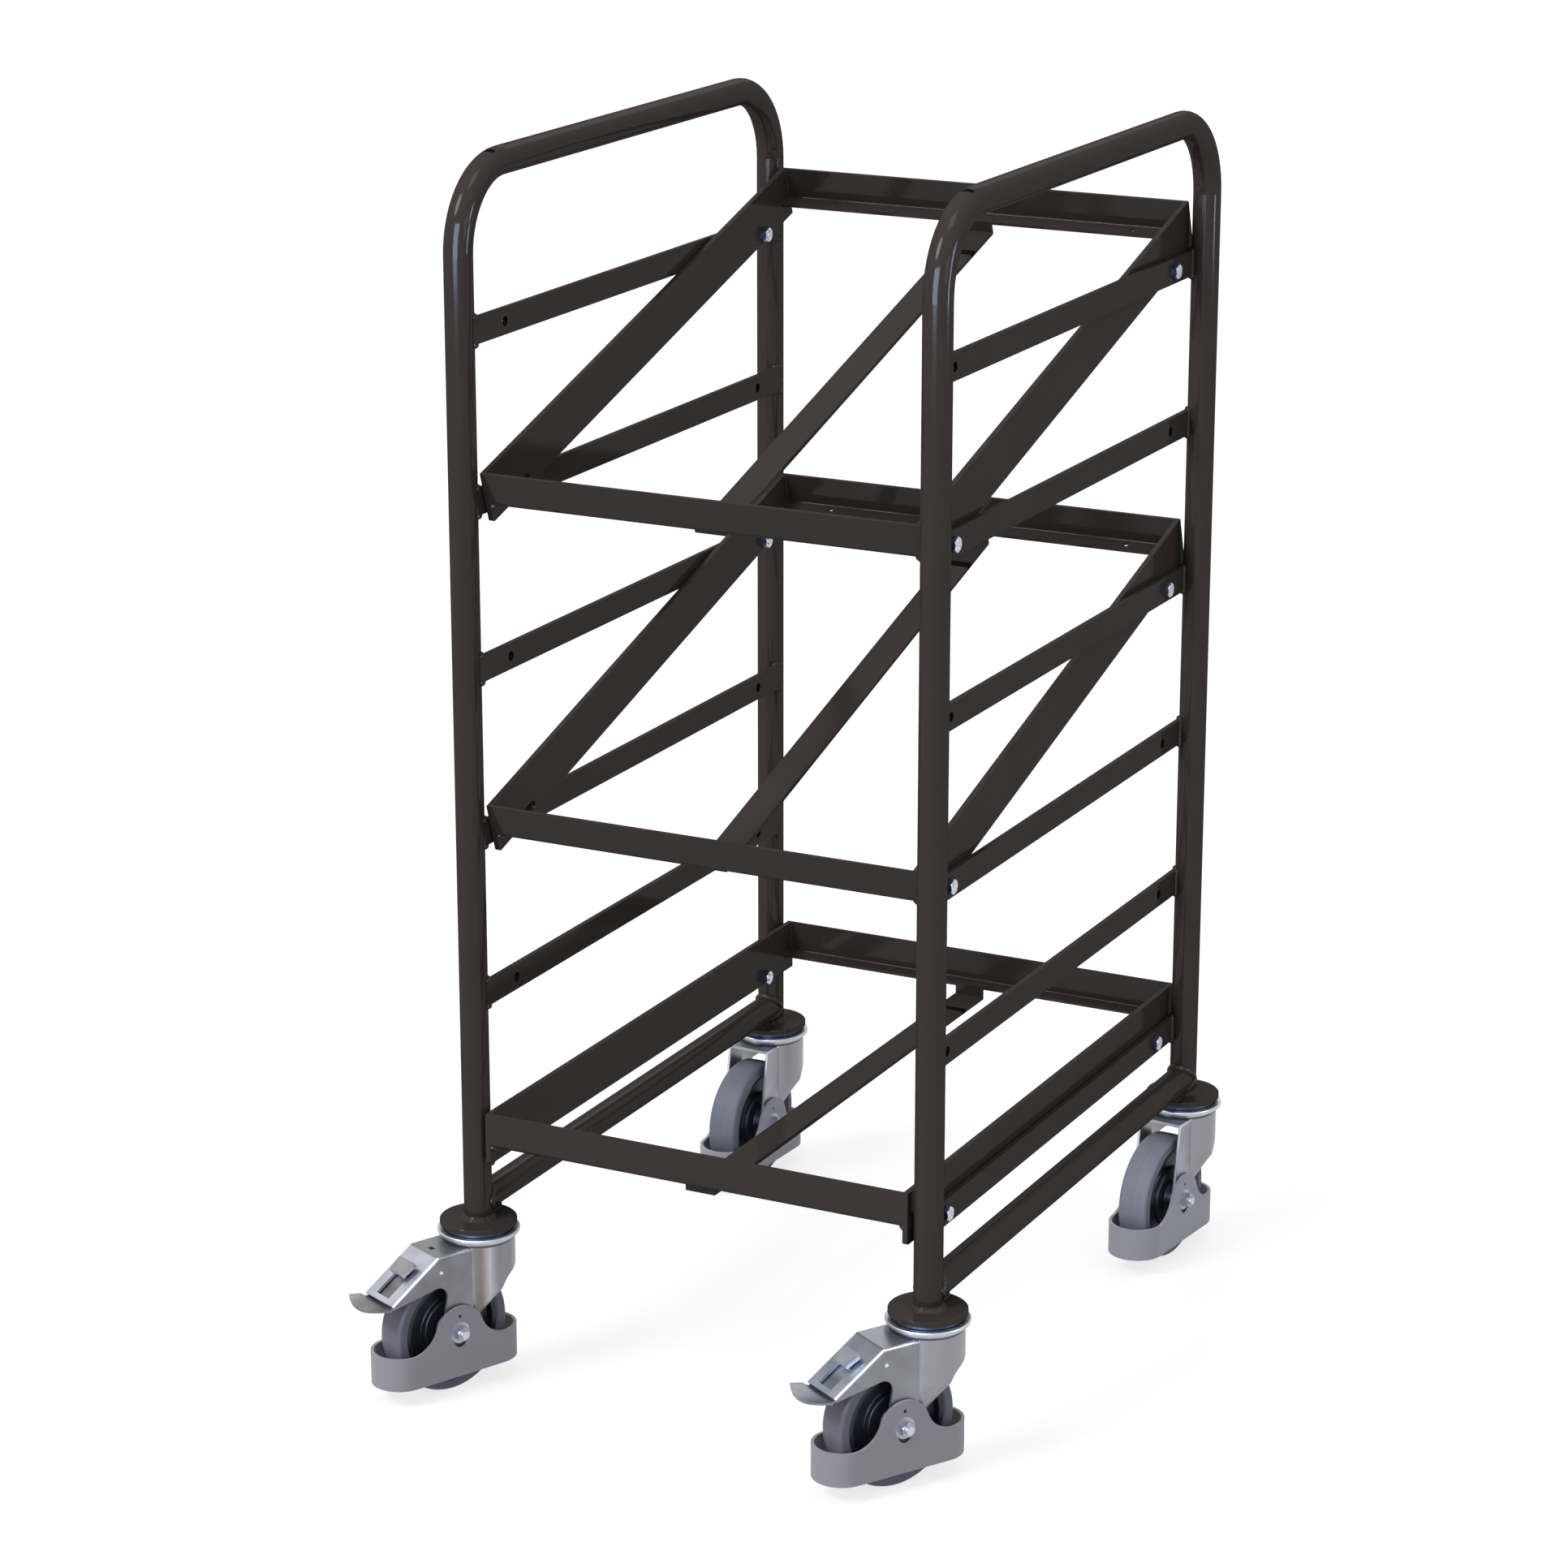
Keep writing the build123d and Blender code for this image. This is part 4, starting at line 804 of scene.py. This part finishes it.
def angle_welds(side, face, end, fillet):
    """Beads between one end of a shelf's angle and its side bar: in the inner corner, under the leg with a
    thicker fillet at the bend, and a spot on the top edge."""
    x = side * BAR_FACE
    outward = np.array([side, 0.0, 0])
    leg_top = LEG_UNDERSIDE + ANGLE_STEEL
    corner = [
        (x, face - end * ANGLE_STEEL, BAR_TOP - 0.001),
        (x, face - end * ANGLE_STEEL, leg_top),
        (x, face - end * (LEG_WIDTH - 0.001), leg_top),
    ]
    under = [
        (x, face - end * ANGLE_BEND, LEG_UNDERSIDE + ANGLE_BEND),
        (x, face - end * 1.5 * ANGLE_BEND, LEG_UNDERSIDE + 0.0004),
        (x, face - end * (LEG_WIDTH - 0.002), LEG_UNDERSIDE),
    ]
    spot = [
        (x - side * 0.0022, face - end * 0.0012, BAR_TOP - 0.0006),
        (x + side * 0.0012, face - end * 0.0012, BAR_TOP - 0.0006),
    ]
    return [
        bead(corner, outward, 0.0014, closed=False),
        bead(under, outward, (fillet, fillet, REAR_FILLET), closed=False, pitch=0.0026),
        bead(spot, np.array([0, 0, 1.0]), 0.0011, closed=False, pitch=0.0018),
    ]


def strip_weld(face, end):
    """Short bead between the centre strip's bent end and the edge of an angle's leg."""
    half_width = 0.0135
    edge = face - end * (LEG_WIDTH - STRIP_STEEL)
    run = [(-half_width, edge, LEG_UNDERSIDE), (half_width, edge, LEG_UNDERSIDE)]
    return bead(run, np.array([0, 0, 1.0]), 0.0017, closed=False, pitch=0.0018)


def shelf_welds(name, finish):
    """Welds of one shelf: its angles to the side bars, and its centre strip to the angles."""
    grids = []
    for face, end, fillet in ((BAR_REAR, 1, REAR_FILLET), (-BAR_FRONT, -1, FRONT_FILLETS[name])):
        for side in (-1, 1):
            grids += angle_welds(side, face, end, fillet)
        grids.append(strip_weld(face, end))
    matrix = shelf_matrix(name)
    turned = [placed(grid, matrix) for grid in grids]
    painted_welds(name + "_shelf_welds", turned, finish, closed=False)


def thread(start, end):
    """Screw thread: a small circle carried along a helix, x from start to end,
    y = R cos(2 pi x / pitch), z = R sin(2 pi x / pitch), thinner over its first and last half turn."""
    columns, rows_per_turn, ridge = 6, 18, 0.32 * THREAD_PITCH
    x = np.linspace(start, end, int(abs(end - start) / THREAD_PITCH * rows_per_turn))
    phase = 2 * np.pi * x / THREAD_PITCH
    line = np.stack([x, THREAD_RADIUS * np.cos(phase), THREAD_RADIUS * np.sin(phase)], axis=1)
    away = np.stack([0 * x, np.cos(phase), np.sin(phase)], axis=1)
    row = np.arange(len(x))
    size = ridge * np.clip(np.minimum(row, row[::-1]) / (rows_per_turn / 2), 0.2, 1)
    angle = full_turn(columns)[None, :, None]
    ring = np.cos(angle) * away[:, None] + np.sin(angle) * np.array([1.0, 0, 0])
    return line[:, None] + size[:, None, None] * ring


def shelf_bolt_threads(finish):
    """Thread on the twelve bolt ends that stand out of the nuts inside the rails."""
    grids = []
    for rear, front in SHELVES.values():
        for y, index in ((HOLE_HALF_SPACING, rear), (-HOLE_HALF_SPACING, front)):
            height = LOWEST_RAIL + index * RAIL_PITCH + RAIL_HEIGHT / 2
            for side in (-1, 1):
                turns = thread(side * NUT_FACE, side * (BOLT_TIP + 0.0003))
                grids.append(turns + np.array([0, y, height]))
    skin("shelf_bolt_threads", grids, "frame", finish, closed=False)


def axle_thread(place, finish):
    """Thread on the end of an axle bolt beyond its nut."""
    origin, turn = castor_frame(place)
    matrix = Matrix.Translation(origin) @ Matrix.Rotation(turn, 4, "Z")
    turns = placed(thread(AXLE_NUT_FACE, AXLE_TIP - 0.0004), matrix)
    skin(place + "_axle_thread", [turns], place + "_castor", finish, closed=False)


make_camera()
bpy.context.scene.view_settings.view_transform = "Standard"
make_stage()
welded = weld_coat()
axles = {castor: axle_zinc(castor) for castor in CASTORS}
plug_zinc = lever_zinc("plug_zinc", (0.44, 0.44, 0.47), (0.44, 0.44, 0.47))
shelf_fixings = shelf_zinc()
dress_nodes(
    {
        "coat": powder_coat(),
        "shelf_bolts": shelf_fixings,
        "shelf_nuts": shelf_fixings,
        "castor_bolts": plug_zinc,
        "threaded_plugs": plug_zinc,
        "axle": axles.get,
        "top_races": shaded_race_steel(),
        "swivel_ring": ring_zinc(),
        "fork": castor_zinc,
        # Painted light: the front levers' release tabs are coloured lighter than their pedals, as light falls
        # on them.
        "front_left_brake_lever": lever_zinc("warm_lever_zinc", (0.195, 0.19, 0.185), (0.31, 0.30, 0.305)),
        "front_right_brake_lever": lever_zinc("cool_lever_zinc", (0.21, 0.225, 0.25), (0.46, 0.50, 0.56)),
        "brake_shoe": shoe_rubber(),
        "foot_guard": guard_moulding,
        "tyre": grey_tyre,
        "hub": dark_hub,
    }
)
foot_welds(welded)
for hand in (-1, 1):
    rail_end_welds(hand, welded)
base_tube_welds(welded)
pad_welds(welded)
for shelf in SHELVES:
    shelf_welds(shelf, welded)
shelf_bolt_threads(shelf_fixings)
for castor in CASTORS:
    axle_thread(castor, axles[castor])
